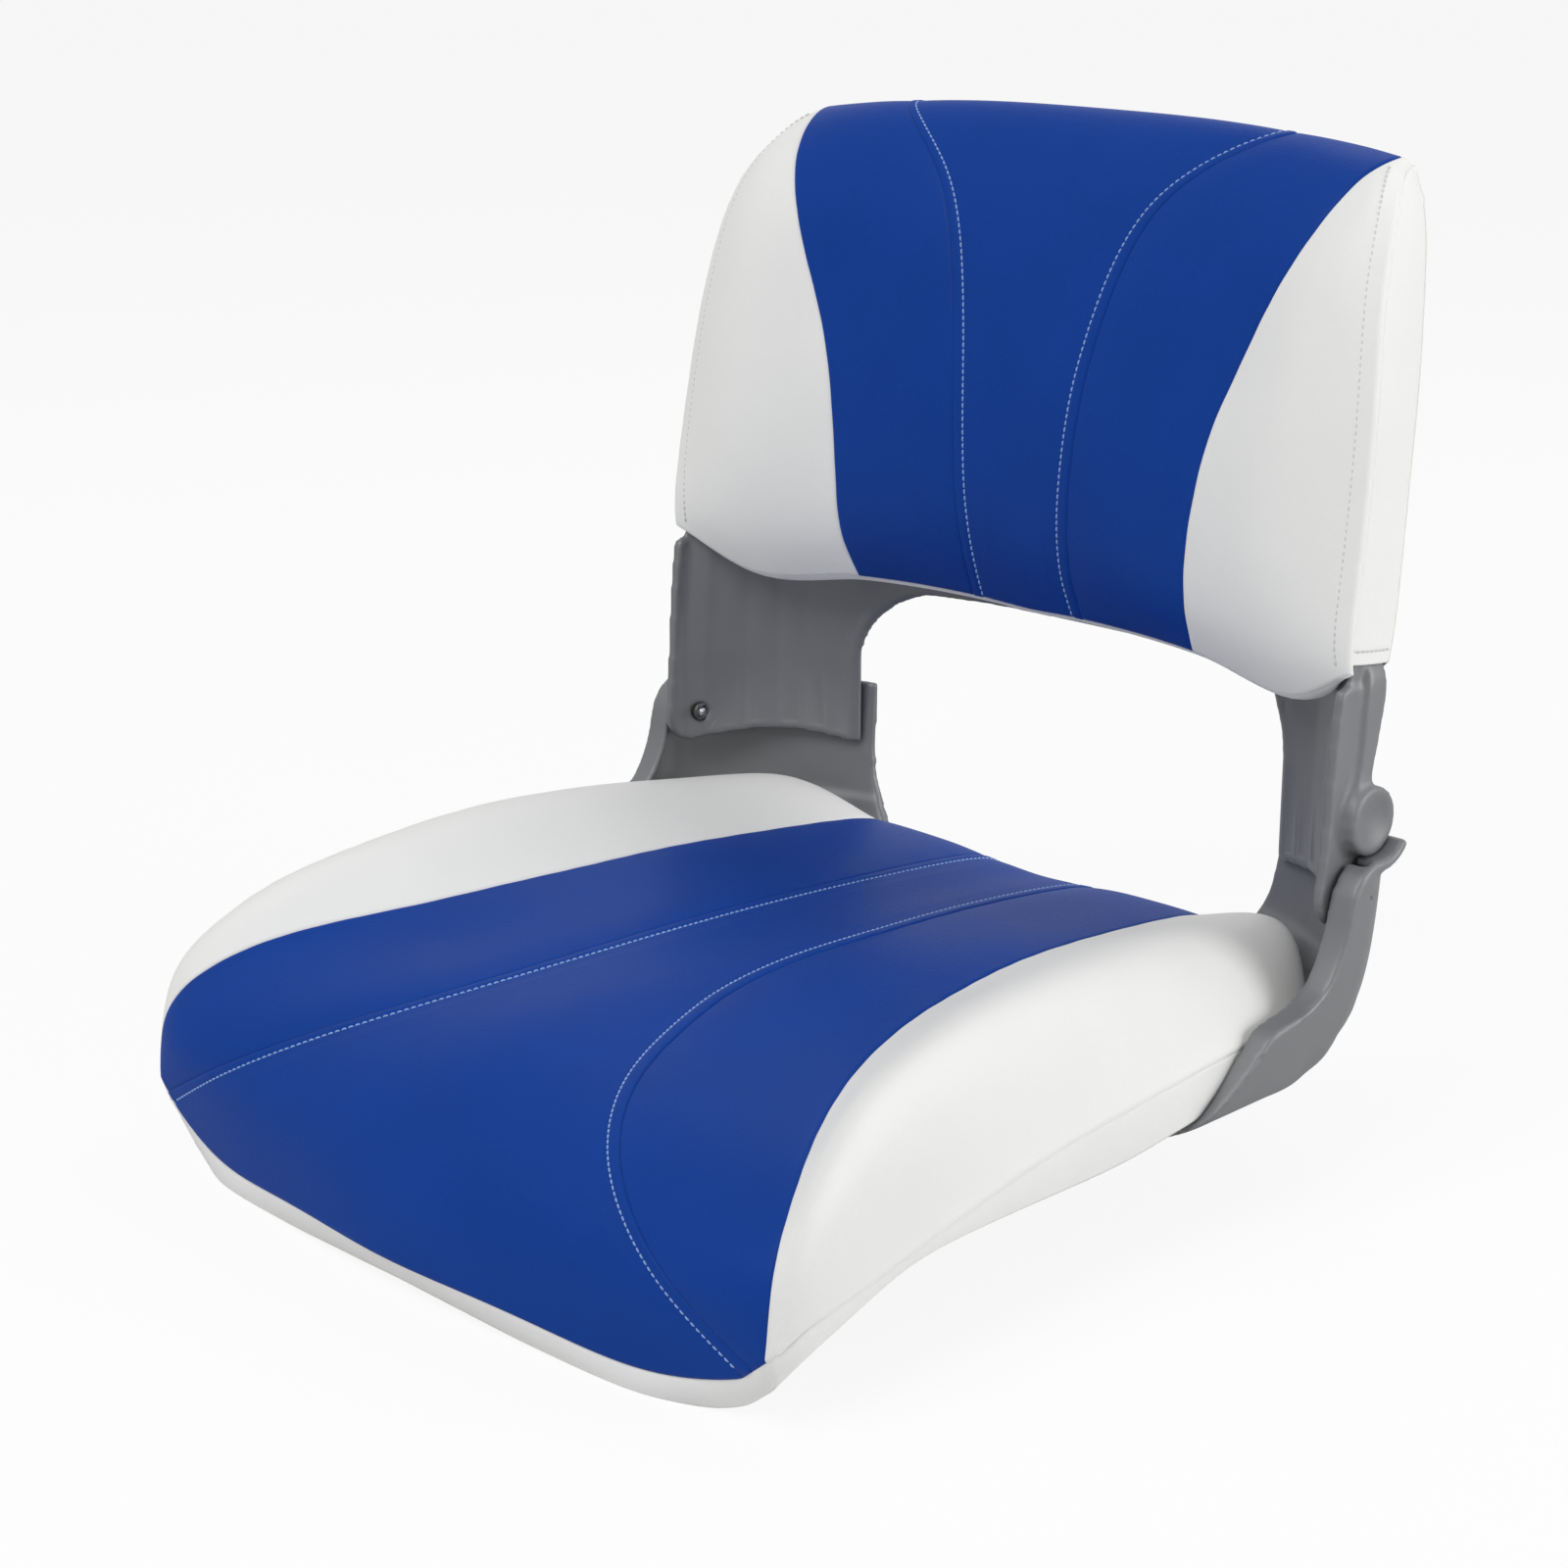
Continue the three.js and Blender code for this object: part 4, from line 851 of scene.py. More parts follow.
@dataclass
class CoverSurface:
    """A cushion's surface: smooth along its lines and from line to line.

    Across the cushion t is 0 at the middle, 1 on the topstitched line, 2 on the edge of
    the blue, 2.5 on the crest and 3 on the side seam. Along it v counts the points of each
    line. The dip is a hollow at a t, with a width in t, from a v on.
    """

    table: LineTable
    scale: tuple[float, float, float]
    fairing: float = 0.32
    fine_t: Array = field(default_factory=lambda: np.linspace(-SEAM_T, SEAM_T, 241))
    per_point: int = 50
    swing: float = 2.5
    least_chord: float = 0.05
    dip: float = 0.0
    dip_place: tuple[float, float, float] = (0.6, 0.24, 9.4)
    dip_run: float = 1.6

    def __post_init__(self) -> None:
        """Draws each line once, densely."""
        self.drawn: list[Array] = []
        for name in HALF_LINES:
            points = np.array(self.table.value[name], float) * np.array(self.scale)
            places = np.linspace(0, len(points) - 1, (len(points) - 1) * self.per_point + 1)
            self.drawn.append(faired(rail(points, places), int(self.fairing * self.per_point)))

    def lines_at(self, places: Array) -> Array:
        """Points of all nine lines.

        Args:
            places: values of v.

        Returns:
            Points as (lines, places, 3).
        """
        at = np.clip(places * self.per_point, 0, len(self.drawn[0]) - 1 - LITTLE)
        low = at.astype(int)
        share = (at - low)[:, None]
        half = [line[low] * (1 - share) + line[low + 1] * share for line in self.drawn]
        return np.array([line * MIRROR for line in half[:0:-1]] + half)

    def points(self, across: Array, along: Array) -> Array:
        """Points of the smooth surface.

        Args:
            across: values of t, as (columns, rows).
            along: values of v, one for each row, or one for each point.

        Returns:
            Points as (columns, rows, 3).
        """
        if along.ndim == 1:
            found = self._between(self.lines_at(along), across)
        else:
            found = np.array([self._between(self.lines_at(v), t[None])[0] for t, v in zip(across, along)])
        place, width, start = self.dip_place
        low = np.exp(-(((np.abs(across) - place) / width) ** 2)) * ease(along, start, start + self.dip_run)
        found[..., 2] -= self.dip * low
        return found

    def _between(self, lines: Array, across: Array) -> Array:
        """Points between the lines.

        Args:
            lines: the nine lines' points, as (lines, rows, 3).
            across: values of t, as (columns, rows).

        Returns:
            Points as (columns, rows, 3).
        """
        chords = np.maximum(np.linalg.norm(np.diff(lines, axis=0), axis=-1), self.least_chord)[..., None]
        slopes = np.diff(lines, axis=0) / chords
        tangents = np.empty_like(lines)
        tangents[0], tangents[-1] = slopes[0], slopes[-1]
        before, after = chords[:-1], chords[1:]
        tangents[1:-1] = (slopes[:-1] * after + slopes[1:] * before) / (before + after)
        low = np.clip(np.searchsorted(KNOTS, across, side="right") - 1, 0, len(KNOTS) - 2)
        share = ((across - KNOTS[low]) / (KNOTS[low + 1] - KNOTS[low]))[..., None]
        row = np.broadcast_to(np.arange(lines.shape[1]), across.shape)
        leave, arrive = chords.copy(), chords.copy()
        leave[1:] = np.minimum(leave[1:], self.swing * chords[:-1])
        arrive[:-1] = np.minimum(arrive[:-1], self.swing * chords[1:])
        return hermite(
            lines[low, row],
            lines[low + 1, row],
            tangents[low, row] * leave[low, row],
            tangents[low + 1, row] * arrive[low, row],
            share,
        )

    def across_lengths(self, along: Array) -> Array:
        """How far each fine value of t lies from the middle.

        Args:
            along: values of v, one for each row.

        Returns:
            Distances as (fine values, rows).
        """
        grid = self.points(np.repeat(self.fine_t[:, None], len(along), 1), along)
        steps = np.linalg.norm(np.diff(grid, axis=0), axis=-1)
        lengths = np.vstack([np.zeros(len(along)), np.cumsum(steps, axis=0)])
        return lengths - lengths[len(self.fine_t) // 2]

    def across_at(self, distance: Array, along: Array) -> Array:
        """The values of t at distances from the middle.

        Args:
            distance: distances as (columns, rows).
            along: values of v, one for each row.

        Returns:
            Values of t as (columns, rows).
        """
        lengths = self.across_lengths(along)
        found = [np.interp(distance[:, j], lengths[:, j], self.fine_t) for j in range(len(along))]
        return np.array(found).T


class SeamKind(Enum):
    """How a panel's long edges are sewn: how far their fold rolls down."""

    FOLD = 2.2
    TOPSTITCHED = 1.7


@dataclass(frozen=True)
class Slack:
    """The faint puckers along a seam, and the slow waves of a cover between its seams."""

    pucker: float = 0.1
    pucker_step: float = 4.1
    drift: float = 2.0
    drift_step: float = 37.0
    pucker_reach: float = 7.0
    wave: float = 0.25
    wave_steps: tuple[float, float, float] = (31.0, 43.0, 29.0)
    wave_start: float = 1.3
    wave_reach: float = 30.0

    def height(self, base: Array, run: Array, edge: Array) -> Array:
        """How far the slack lifts a panel.

        Args:
            base: the panel's points.
            run: how far along the panel each is.
            edge: how far from the nearest seam each is.

        Returns:
            The lift of each point.
        """
        turn = run / self.pucker_step + self.drift * np.sin(run / self.drift_step)
        pucker = np.sin(turn) * np.exp(-edge / self.pucker_reach)
        x_step, y_step, z_step = self.wave_steps
        over = np.sin(base[..., 0] / x_step + self.wave_start)
        wave = over * np.sin(base[..., 1] / y_step + base[..., 2] / z_step)
        return self.pucker * pucker + self.wave * wave * (1 - np.exp(-edge / self.wave_reach))


@dataclass(frozen=True)
class Welt:
    """The line of thread inside a topstitched edge: its valley and the ridge outside it."""

    valley: float = 0.3
    valley_width: float = 1.4
    ridge: float = 0.5
    ridge_ends: tuple[float, float] = (-1.0, 2.5)
    rise: float = 14.0

    def height(self, height: Array, inward: Array) -> Array:
        """Presses the thread's line into a panel.

        Args:
            height: how far each point stands off so far.
            inward: how far inside the thread each point is.

        Returns:
            How far each point stands off with the line in it.
        """
        thread = np.exp(-((inward / self.valley_width) ** 2))
        raised = ease(-inward, *self.ridge_ends)
        return height * ease(inward, 0.0, self.rise) + self.ridge * raised - self.valley * thread


@dataclass
class Panel:
    """A sewn panel of a cover between two of its seams.

    Its points are close together near its edges, at the edge steps; a narrow panel has less
    room for these. The puff is how far its middle stands off the smooth surface.
    """

    surface: CoverSurface
    low_side: Distance
    high_side: Distance
    start: float
    end: float
    puff: float
    seam: SeamKind = SeamKind.FOLD
    puff_reach: float = 16.0
    puff_power: float = 1.2
    spacing: float = 5.0
    row_spacing: float = 4.0
    samples: int = 200
    end_shift: Distance | None = None
    welt_width: Distance | None = None
    welt: Welt = Welt()
    slack: Slack = Slack()
    edge_steps: tuple[float, ...] = (0.0, 0.25, 0.7, 1.3, 2.1, 3.2, 4.6, 5.8, 7.0, 8.2, 9.6, 12.0)
    edge_room: float = 2.6
    held_borders: int = 4

    def _rows(self) -> Array:
        """Places along the panel, close together near its ends.

        Returns:
            Values of v.
        """
        fine = np.linspace(self.start, self.end, self.samples)
        lengths = travel(self.surface.points(np.full((1, self.samples), self._middle_t()), fine)[0])
        return np.interp(self._spread(np.array([lengths[-1]]), self.row_spacing)[:, 0], lengths, fine)

    def _middle_t(self) -> float:
        """About where the middle of the panel is across the cushion.

        Returns:
            The value of t.
        """
        place = np.array([(self.start + self.end) / 2])
        ends = np.array([[float(self.low_side(place)[0]) + float(self.high_side(place)[0])]]) / 2
        return float(self.surface.across_at(ends, place)[0, 0])

    def _spread(self, width: Array, spacing: float) -> Array:
        """Distances from one edge to the other, close together near both.

        Args:
            width: the whole distance in each row.
            spacing: how far apart the points are between the edges.

        Returns:
            Distances as (columns, rows).
        """
        edge = np.array(self.edge_steps)
        share = np.minimum(1.0, width / (self.edge_room * edge[-1]))
        inner_width = width - 2 * edge[-1] * share
        count = max(int(np.max(inner_width) / spacing), 2)
        inner = np.linspace(0.0, 1.0, count + 1)[1:-1, None] * inner_width + edge[-1] * share
        low = edge[:, None] * share
        return np.vstack([low, inner, width - low[::-1]])

    def build(self, piece: Piece, palette: Palette) -> bpy.types.Object:
        """Builds the panel as a sheet with folded edges.

        Args:
            piece: what the panel is called and rides on.
            palette: where its material comes from.

        Returns:
            The panel's object.
        """
        rows = self._rows()
        low = self.low_side(rows)
        width = self.high_side(rows) - low
        inset = self.welt_width(rows) if self.welt_width else np.full(len(rows), BORDER)
        offsets = self._drawn_in(self._spread(width, self.spacing), width, inset / BORDER)
        across = self.surface.across_at(low + offsets, rows)
        along = rows
        if self.end_shift:
            reach = (rows - self.start) / (self.end - self.start)
            along = np.repeat(rows[None, :], len(across), 0) + self.end_shift(across) * reach
        base = self.surface.points(across, along)
        normal, sign = outward(base, piece.body)
        lifted = base + normal * self._relief(base, offsets, width, inset)[..., None]
        faces = grid_faces(len(across), len(rows), sign < 0)
        return piece.build(palette, lifted.reshape(-1, 3), faces, COVER)

    def _drawn_in(self, offsets: Array, width: Array, share: Array) -> Array:
        """Draws the columns near both edges in, row by row.

        Args:
            offsets: each point's distance from the low edge.
            width: the panel's width in each row.
            share: what is left of the border's width in each row.

        Returns:
            The new distances.
        """
        near = np.minimum(offsets, width - offsets)
        held = ease(near, BORDER, self.held_borders * BORDER)
        drawn = near * (share + (1 - share) * held)
        return np.where(offsets <= width / 2, drawn, width - drawn)

    def _relief(self, base: Array, offsets: Array, width: Array, inset: Array) -> Array:
        """How far each point stands off the smooth surface: folds, puff, thread line and slack.

        Args:
            base: points of the smooth surface, as (columns, rows, 3).
            offsets: each point's distance from the low edge.
            width: the panel's width in each row.
            inset: how far inside the edge its thread runs in each row.

        Returns:
            The height of each point.
        """
        steps = np.linalg.norm(np.diff(base, axis=1), axis=-1)
        run = np.hstack([np.zeros((len(base), 1)), np.cumsum(steps, axis=1)])
        edge = np.minimum(offsets, width - offsets)
        folds = [(offsets, self.seam), (width - offsets, self.seam)]
        folds += [(run, SeamKind.FOLD), (run[:, -1:] - run, SeamKind.FOLD)]
        height = np.full(offsets.shape, self.puff)
        drop = np.zeros(offsets.shape)
        for distance, seam in folds:
            drop = np.maximum(drop, rolled(distance, seam.value))
            height = height * (1 - np.exp(-((distance / self.puff_reach) ** self.puff_power)))
        if self.welt_width:
            height = self.welt.height(height, edge - inset)
        slack = self.slack.height(base, run, edge)
        return (height - drop + slack) * np.minimum(width / NARROW, 1.0)


@dataclass
class StitchRow:
    """A row of topstitching: one short run of thread after another.

    A run's sections are its share of the length, and the thread's thickness and rise there
    as shares of its radius.
    """

    pitch: float = 3.8
    length: float = 3.35
    radius: float = 0.6
    sides: int = 6
    first: float = 1.0
    sections: tuple[tuple[float, float, float], ...] = (
        (0.0, 0.35, -0.55), (0.12, 0.8, -0.1), (0.35, 1.0, 0.35),
        (0.65, 1.0, 0.35), (0.88, 0.8, -0.1), (1.0, 0.35, -0.55),
    )

    def mesh(self, path: Array, normals: Array) -> Mesh:
        """Threads that follow a path.

        Args:
            path: points along the row.
            normals: the surface's outward directions there.

        Returns:
            Vertices and faces.
        """
        lengths = travel(path)
        shares, swell, rise = np.array(self.sections).T
        turn = np.linspace(0, 2 * np.pi, self.sides, endpoint=False)[None, :, None]
        faces = tube_faces(len(shares), self.sides)
        runs: list[Mesh] = []
        for start in np.arange(self.first, lengths[-1] - self.length, self.pitch):
            at = start + shares * self.length
            middle = np.array([np.interp(at, lengths, column) for column in path.T]).T
            up = unit(np.array([np.interp(at, lengths, column) for column in normals.T]).T)
            side = unit(np.cross(up, np.gradient(middle, axis=0)))
            middle = middle + up * (rise * self.radius)[:, None]
            ring = np.cos(turn) * side[:, None] + np.sin(turn) * up[:, None]
            run = middle[:, None] + ring * (self.radius * swell)[:, None, None]
            runs.append((run.reshape(-1, 3), faces))
        return merge(runs)


def flipped(distance: Distance) -> Distance:
    """The same distance on the other side of the middle."""
    return lambda along: -distance(along)


@dataclass
class Cushion:
    """What the two cushions share: their surface, its seams, panels and rows of stitching."""

    surface: CoverSurface
    body: str
    palette: Palette
    start: float
    end: float
    centre_puff: float = 2.0
    centre_reach: float = 40.0
    blue_puff: float = 2.6
    white_puff: float = 2.2
    border_share: float = 0.45
    panel_fill: float = 0.9
    thread_lift: float = 0.85
    thread_start: float = 0.02
    thread_samples: int = 160

    def line_distance(self, t: float, along: Array) -> Array:
        """How far the line with that t lies from the middle, at places along the cushion."""
        lengths = self.surface.across_lengths(along)
        return np.array([np.interp(t, self.surface.fine_t, lengths[:, j]) for j in range(len(along))])

    def stitch_distance(self, along: Array) -> Array:
        """How far the topstitched line lies from the middle."""
        return self.line_distance(STITCH_T, along)

    def edge_distance(self, along: Array) -> Array:
        """How far the edge of the blue lies from the middle."""
        return self.line_distance(EDGE_T, along)

    def seam_distance(self, along: Array) -> Array:
        """How far the side seam lies from the middle."""
        return self.line_distance(SEAM_T, along)

    def border_distance(self, along: Array) -> Array:
        """How far the seam just outside the topstitched line lies from the middle."""
        stitch = self.stitch_distance(along)
        return stitch + np.minimum(BORDER, self.border_share * (self.edge_distance(along) - stitch))

    def welt_width(self, along: Array) -> Array:
        """How far the topstitched line lies inside that seam."""
        return self.border_distance(along) - self.stitch_distance(along)

    def centre_panel(self, end_shift: Distance | None = None) -> None:
        """Builds the blue panel between the topstitched lines.

        Args:
            end_shift: how much further along the cushion the panel's end lies, by t.
        """
        border = self.border_distance
        nodes = [f"{self.body}_cover_centre"]
        piece = Piece(f"{self.body}_centre_panel", self.body, Finish.BLUE, nodes, self.panel_fill)
        Panel(
            self.surface, flipped(border), border, self.start, self.end, self.centre_puff,
            SeamKind.TOPSTITCHED, self.centre_reach, end_shift=end_shift, welt_width=self.welt_width,
        ).build(piece, self.palette)

    def side_panels(self, side: str, sign: float, blue_shift: Distance | None = None) -> None:
        """Builds one side's blue panel, and the white one outside it.

        Args:
            side: the side's name.
            sign: the side's sign along x.
            blue_shift: how much further along the cushion the blue panel's end lies, by t.
        """
        border, edge, seam = self.border_distance, self.edge_distance, self.seam_distance
        for colour, finish, inner, outer, puff, shift in (
            ("blue", Finish.BLUE, border, edge, self.blue_puff, blue_shift),
            ("white", Finish.WHITE, edge, seam, self.white_puff, None),
        ):
            low, high = (inner, outer) if sign > 0 else (flipped(outer), flipped(inner))
            nodes = [f"{self.body}_cover_{colour}_{side}"]
            piece = Piece(f"{self.body}_{colour}_panel_{side}", self.body, finish, nodes, self.panel_fill)
            panel = Panel(self.surface, low, high, self.start, self.end, puff, end_shift=shift)
            panel.build(piece, self.palette)

    def topstitch(self, distance: Distance, lift: float, low: float, high: float) -> Mesh:
        """One row of stitching at a distance from the middle, with its mirror image.

        Args:
            distance: how far from the middle it runs.
            lift: how far the cover stands off the smooth surface there.
            low: where it starts along the cushion.
            high: where it ends.

        Returns:
            Vertices and faces.
        """
        rows = np.linspace(low, high, self.thread_samples)
        beside = np.array([-1.0, 0.0, 1.0])[:, None]
        base = self.surface.points(self.surface.across_at(beside + distance(rows), rows), rows)
        normal = outward(base, self.body)[0][1]
        points, faces = StitchRow().mesh(base[1] + normal * lift, normal)
        return merge([(points, faces), (points * MIRROR, [face[::-1] for face in faces])])


@dataclass
class SeatCushion(Cushion):
    """The sewn cushion that lies in the pan."""

    thread_stop: float = 0.03
    band_start: float = 2.0
    side_steps: int = 90
    front_steps: int = 110
    band_shares: tuple[float, ...] = (0.0, 0.02, 0.06, 0.12, 0.25, 0.45, 0.65, 0.85, 0.95, 1.0)
    band_fold: float = 1.8
    band_bulge: float = 1.6
    band_full_depth: float = 20.0
    band_fill: float = 0.6
    underside_fill: float = 0.8
    underside_columns: int = 61
    underside_rows: int = 80
    hem_shares: tuple[tuple[float, float, float], ...] = (
        (0, -0.962, 0.029), (0.2, -0.962, 0.025), (0.4, -0.955, 0.012), (0.64, -0.9375, 0.0045),
        (0.78, -0.896, 0.0045), (0.86, -0.868, 0.041), (0.92, -0.865, 0.131), (0.948, -0.8715, 0.18),
    )

    def build(self) -> None:
        """Builds the panels, the threads, the band and the underside."""
        self.centre_panel()
        for side, sign in SIDES:
            self.side_panels(side, sign)
        ends = (self.start + self.thread_start, self.end - self.thread_stop)
        threads = self.topstitch(self.stitch_distance, self.thread_lift, *ends)
        Piece("seat_topstitching", self.body, Finish.THREAD).build(self.palette, *threads)
        floor = CoverSurface(LineTable.SEAT_FLOOR, self.surface.scale)
        self._band(floor)
        self._underside(floor)

    def _hem(self, floor: CoverSurface) -> tuple[Array, Array]:
        """The band's edges, from one rear end round the front to the other.

        Args:
            floor: the surface under the cushion.

        Returns:
            The upper and the lower edge, with as many points each.
        """
        along = np.linspace(self.band_start, self.end, self.side_steps)
        outermost = np.full((1, self.side_steps), SEAM_T)
        across = np.linspace(SEAM_T, 0.0, self.front_steps)[1:, None]
        side = self.surface.points(outermost, along)[0]
        front = self.surface.points(across, np.array([self.end]))[:, 0]
        upper = np.vstack([side, front])
        hem = dense(self.hem_shares)[::-1] * np.array(self.surface.scale)
        place = travel(np.vstack([side[-1:], front]))[1:]
        reached = travel(hem)
        lower_front = [np.interp(place / place[-1], reached / reached[-1], column) for column in hem.T]
        lower = np.vstack([floor.points(outermost, along)[0], np.array(lower_front).T])
        return np.vstack([upper, upper[-2::-1] * MIRROR]), np.vstack([lower, lower[-2::-1] * MIRROR])

    def _band(self, floor: CoverSurface) -> None:
        """Builds the white band round the cushion's lower edge.

        Args:
            floor: the surface under the cushion.
        """
        top, bottom = self._hem(floor)
        shares = np.array(self.band_shares)[:, None]
        grid = top + (bottom - top) * shares[..., None]
        normal, _ = outward(grid, self.body)
        depth = np.linalg.norm(bottom - top, axis=-1)
        fold = rolled(shares * depth, self.band_fold)
        bulge = self.band_bulge * np.sin(np.pi * shares) * np.minimum(depth / self.band_full_depth, 1.0)
        lifted = grid + normal * (bulge - fold)[..., None]
        piece = Piece("seat_band", self.body, Finish.WHITE, ["seat_cover_band"], self.band_fill)
        piece.build(self.palette, lifted.reshape(-1, 3), grid_faces(*grid.shape[:2]), COVER)

    def _underside(self, floor: CoverSurface) -> None:
        """Builds the cloth under the cushion, from hem to hem, and its short upright rear.

        Args:
            floor: the surface under the cushion.
        """
        t = np.linspace(-SEAM_T, SEAM_T, self.underside_columns)[:, None]
        v = np.linspace(self.start, self.end, self.underside_rows)
        under = floor.points(np.repeat(t, len(v), 1), v)
        top = self.surface.points(t, np.array([self.start]))
        grid = np.concatenate([top, (top + under[:, :1]) / 2, under], axis=1)
        piece = Piece("seat_underside", self.body, Finish.WHITE, ["seat_foam"], self.underside_fill)
        piece.build(self.palette, grid.reshape(-1, 3), grid_faces(*grid.shape[:2], flip=True), LINING)


@dataclass
class ShellForm:
    """The back shell's bowed wall, which the slip-over cover is pulled round.

    Levels are (height, half width, edge) and flange and bow pairs are (height, depth) and
    (side, bow), all as shares.
    """

    size: tuple[float, float, float] = BACK_SIZE
    middle: float = 254.0
    wall: float = 4.0
    lean_start: float = 490.5
    lean: float = 0.2
    bow_steps: int = 80
    taut_steps: int = 18
    least_run: float = 0.5
    cover_gap: float = 2.8
    top_start: float = 8.0
    top_fall: float = 1.3
    levels: tuple[tuple[float, float, float], ...] = (
        (0.262, 0.992, 0.551), (0.367, 0.992, 0.551), (0.49, 0.992, 0.578), (0.525, 0.992, 0.6),
        (0.615, 0.988, 0.618), (0.706, 0.98, 0.648), (0.776, 0.966, 0.672), (0.864, 0.938, 0.722),
        (0.923, 0.9, 0.792), (0.935, 0.85, 0.84), (0.943, 0.8, 0.87),
    )
    bow: tuple[tuple[float, float], ...] = (
        (0, 0), (0.24, 0.01), (0.4, 0.05), (0.532, 0.13), (0.588, 0.204), (0.64, 0.302),
        (0.8, 0.48), (0.9, 0.7), (0.96, 0.9), (1, 1),
    )
    flange: tuple[tuple[float, float], ...] = (
        (0.49, 0.125), (0.525, 0.106), (0.615, 0.1), (0.706, 0.087), (0.776, 0.071), (0.864, 0.047),
        (0.923, 0.03),
    )

    def edge_x(self, z: Array) -> Array:
        """Half the shell's width at a height."""
        share, x = np.array([(a, b) for a, b, _ in self.levels]).T
        return np.interp(z / self.size[2], share, x) * self.size[0]

    def edge_y(self, z: Array) -> Array:
        """How far back the shell's edge lies at a height."""
        share, y = np.array([(a, c) for a, _, c in self.levels]).T
        return np.interp(z / self.size[2], share, y) * self.size[1]

    def front(self, x: Array, z: Array) -> Array:
        """How far back the wall's front face lies.

        Args:
            x: places across the shell.
            z: their heights.

        Returns:
            The places along y.
        """
        curve = rail(np.array(self.bow, float), np.linspace(0, len(self.bow) - 1, self.bow_steps))
        share = np.clip(np.abs(x) / self.edge_x(z), 0, 1)
        middle = self.middle - self.lean * np.maximum(z - self.lean_start, 0)
        return middle - (middle - self.edge_y(z)) * np.interp(share, curve[:, 0], curve[:, 1])

    def taut_rear(self, x: Array, z: Array) -> Array:
        """How far back a cover lies that is stretched over the flange and the wall.

        Args:
            x: places across the shell.
            z: their heights.

        Returns:
            The places along y.
        """
        top = self.levels[-1][0] * self.size[2]
        z_in = np.minimum(z, top)
        edge = self.edge_x(z_in)
        share, depth = np.array(self.flange).T
        rim = self.edge_y(z_in) + np.interp(z_in / self.size[2], share, depth) * self.size[1]
        across = np.minimum(np.abs(x), edge)
        taut = self.front(across, z_in) + self.wall
        for k in range(self.taut_steps):
            held = across * k / self.taut_steps
            rear = self.front(held, z_in) + self.wall
            run = np.maximum(edge - held, self.least_run)
            taut = np.maximum(taut, rear + (rim - rear) * (across - held) / run)
        return taut + self.cover_gap - self.top_fall * np.maximum(z - top - self.top_start, 0)


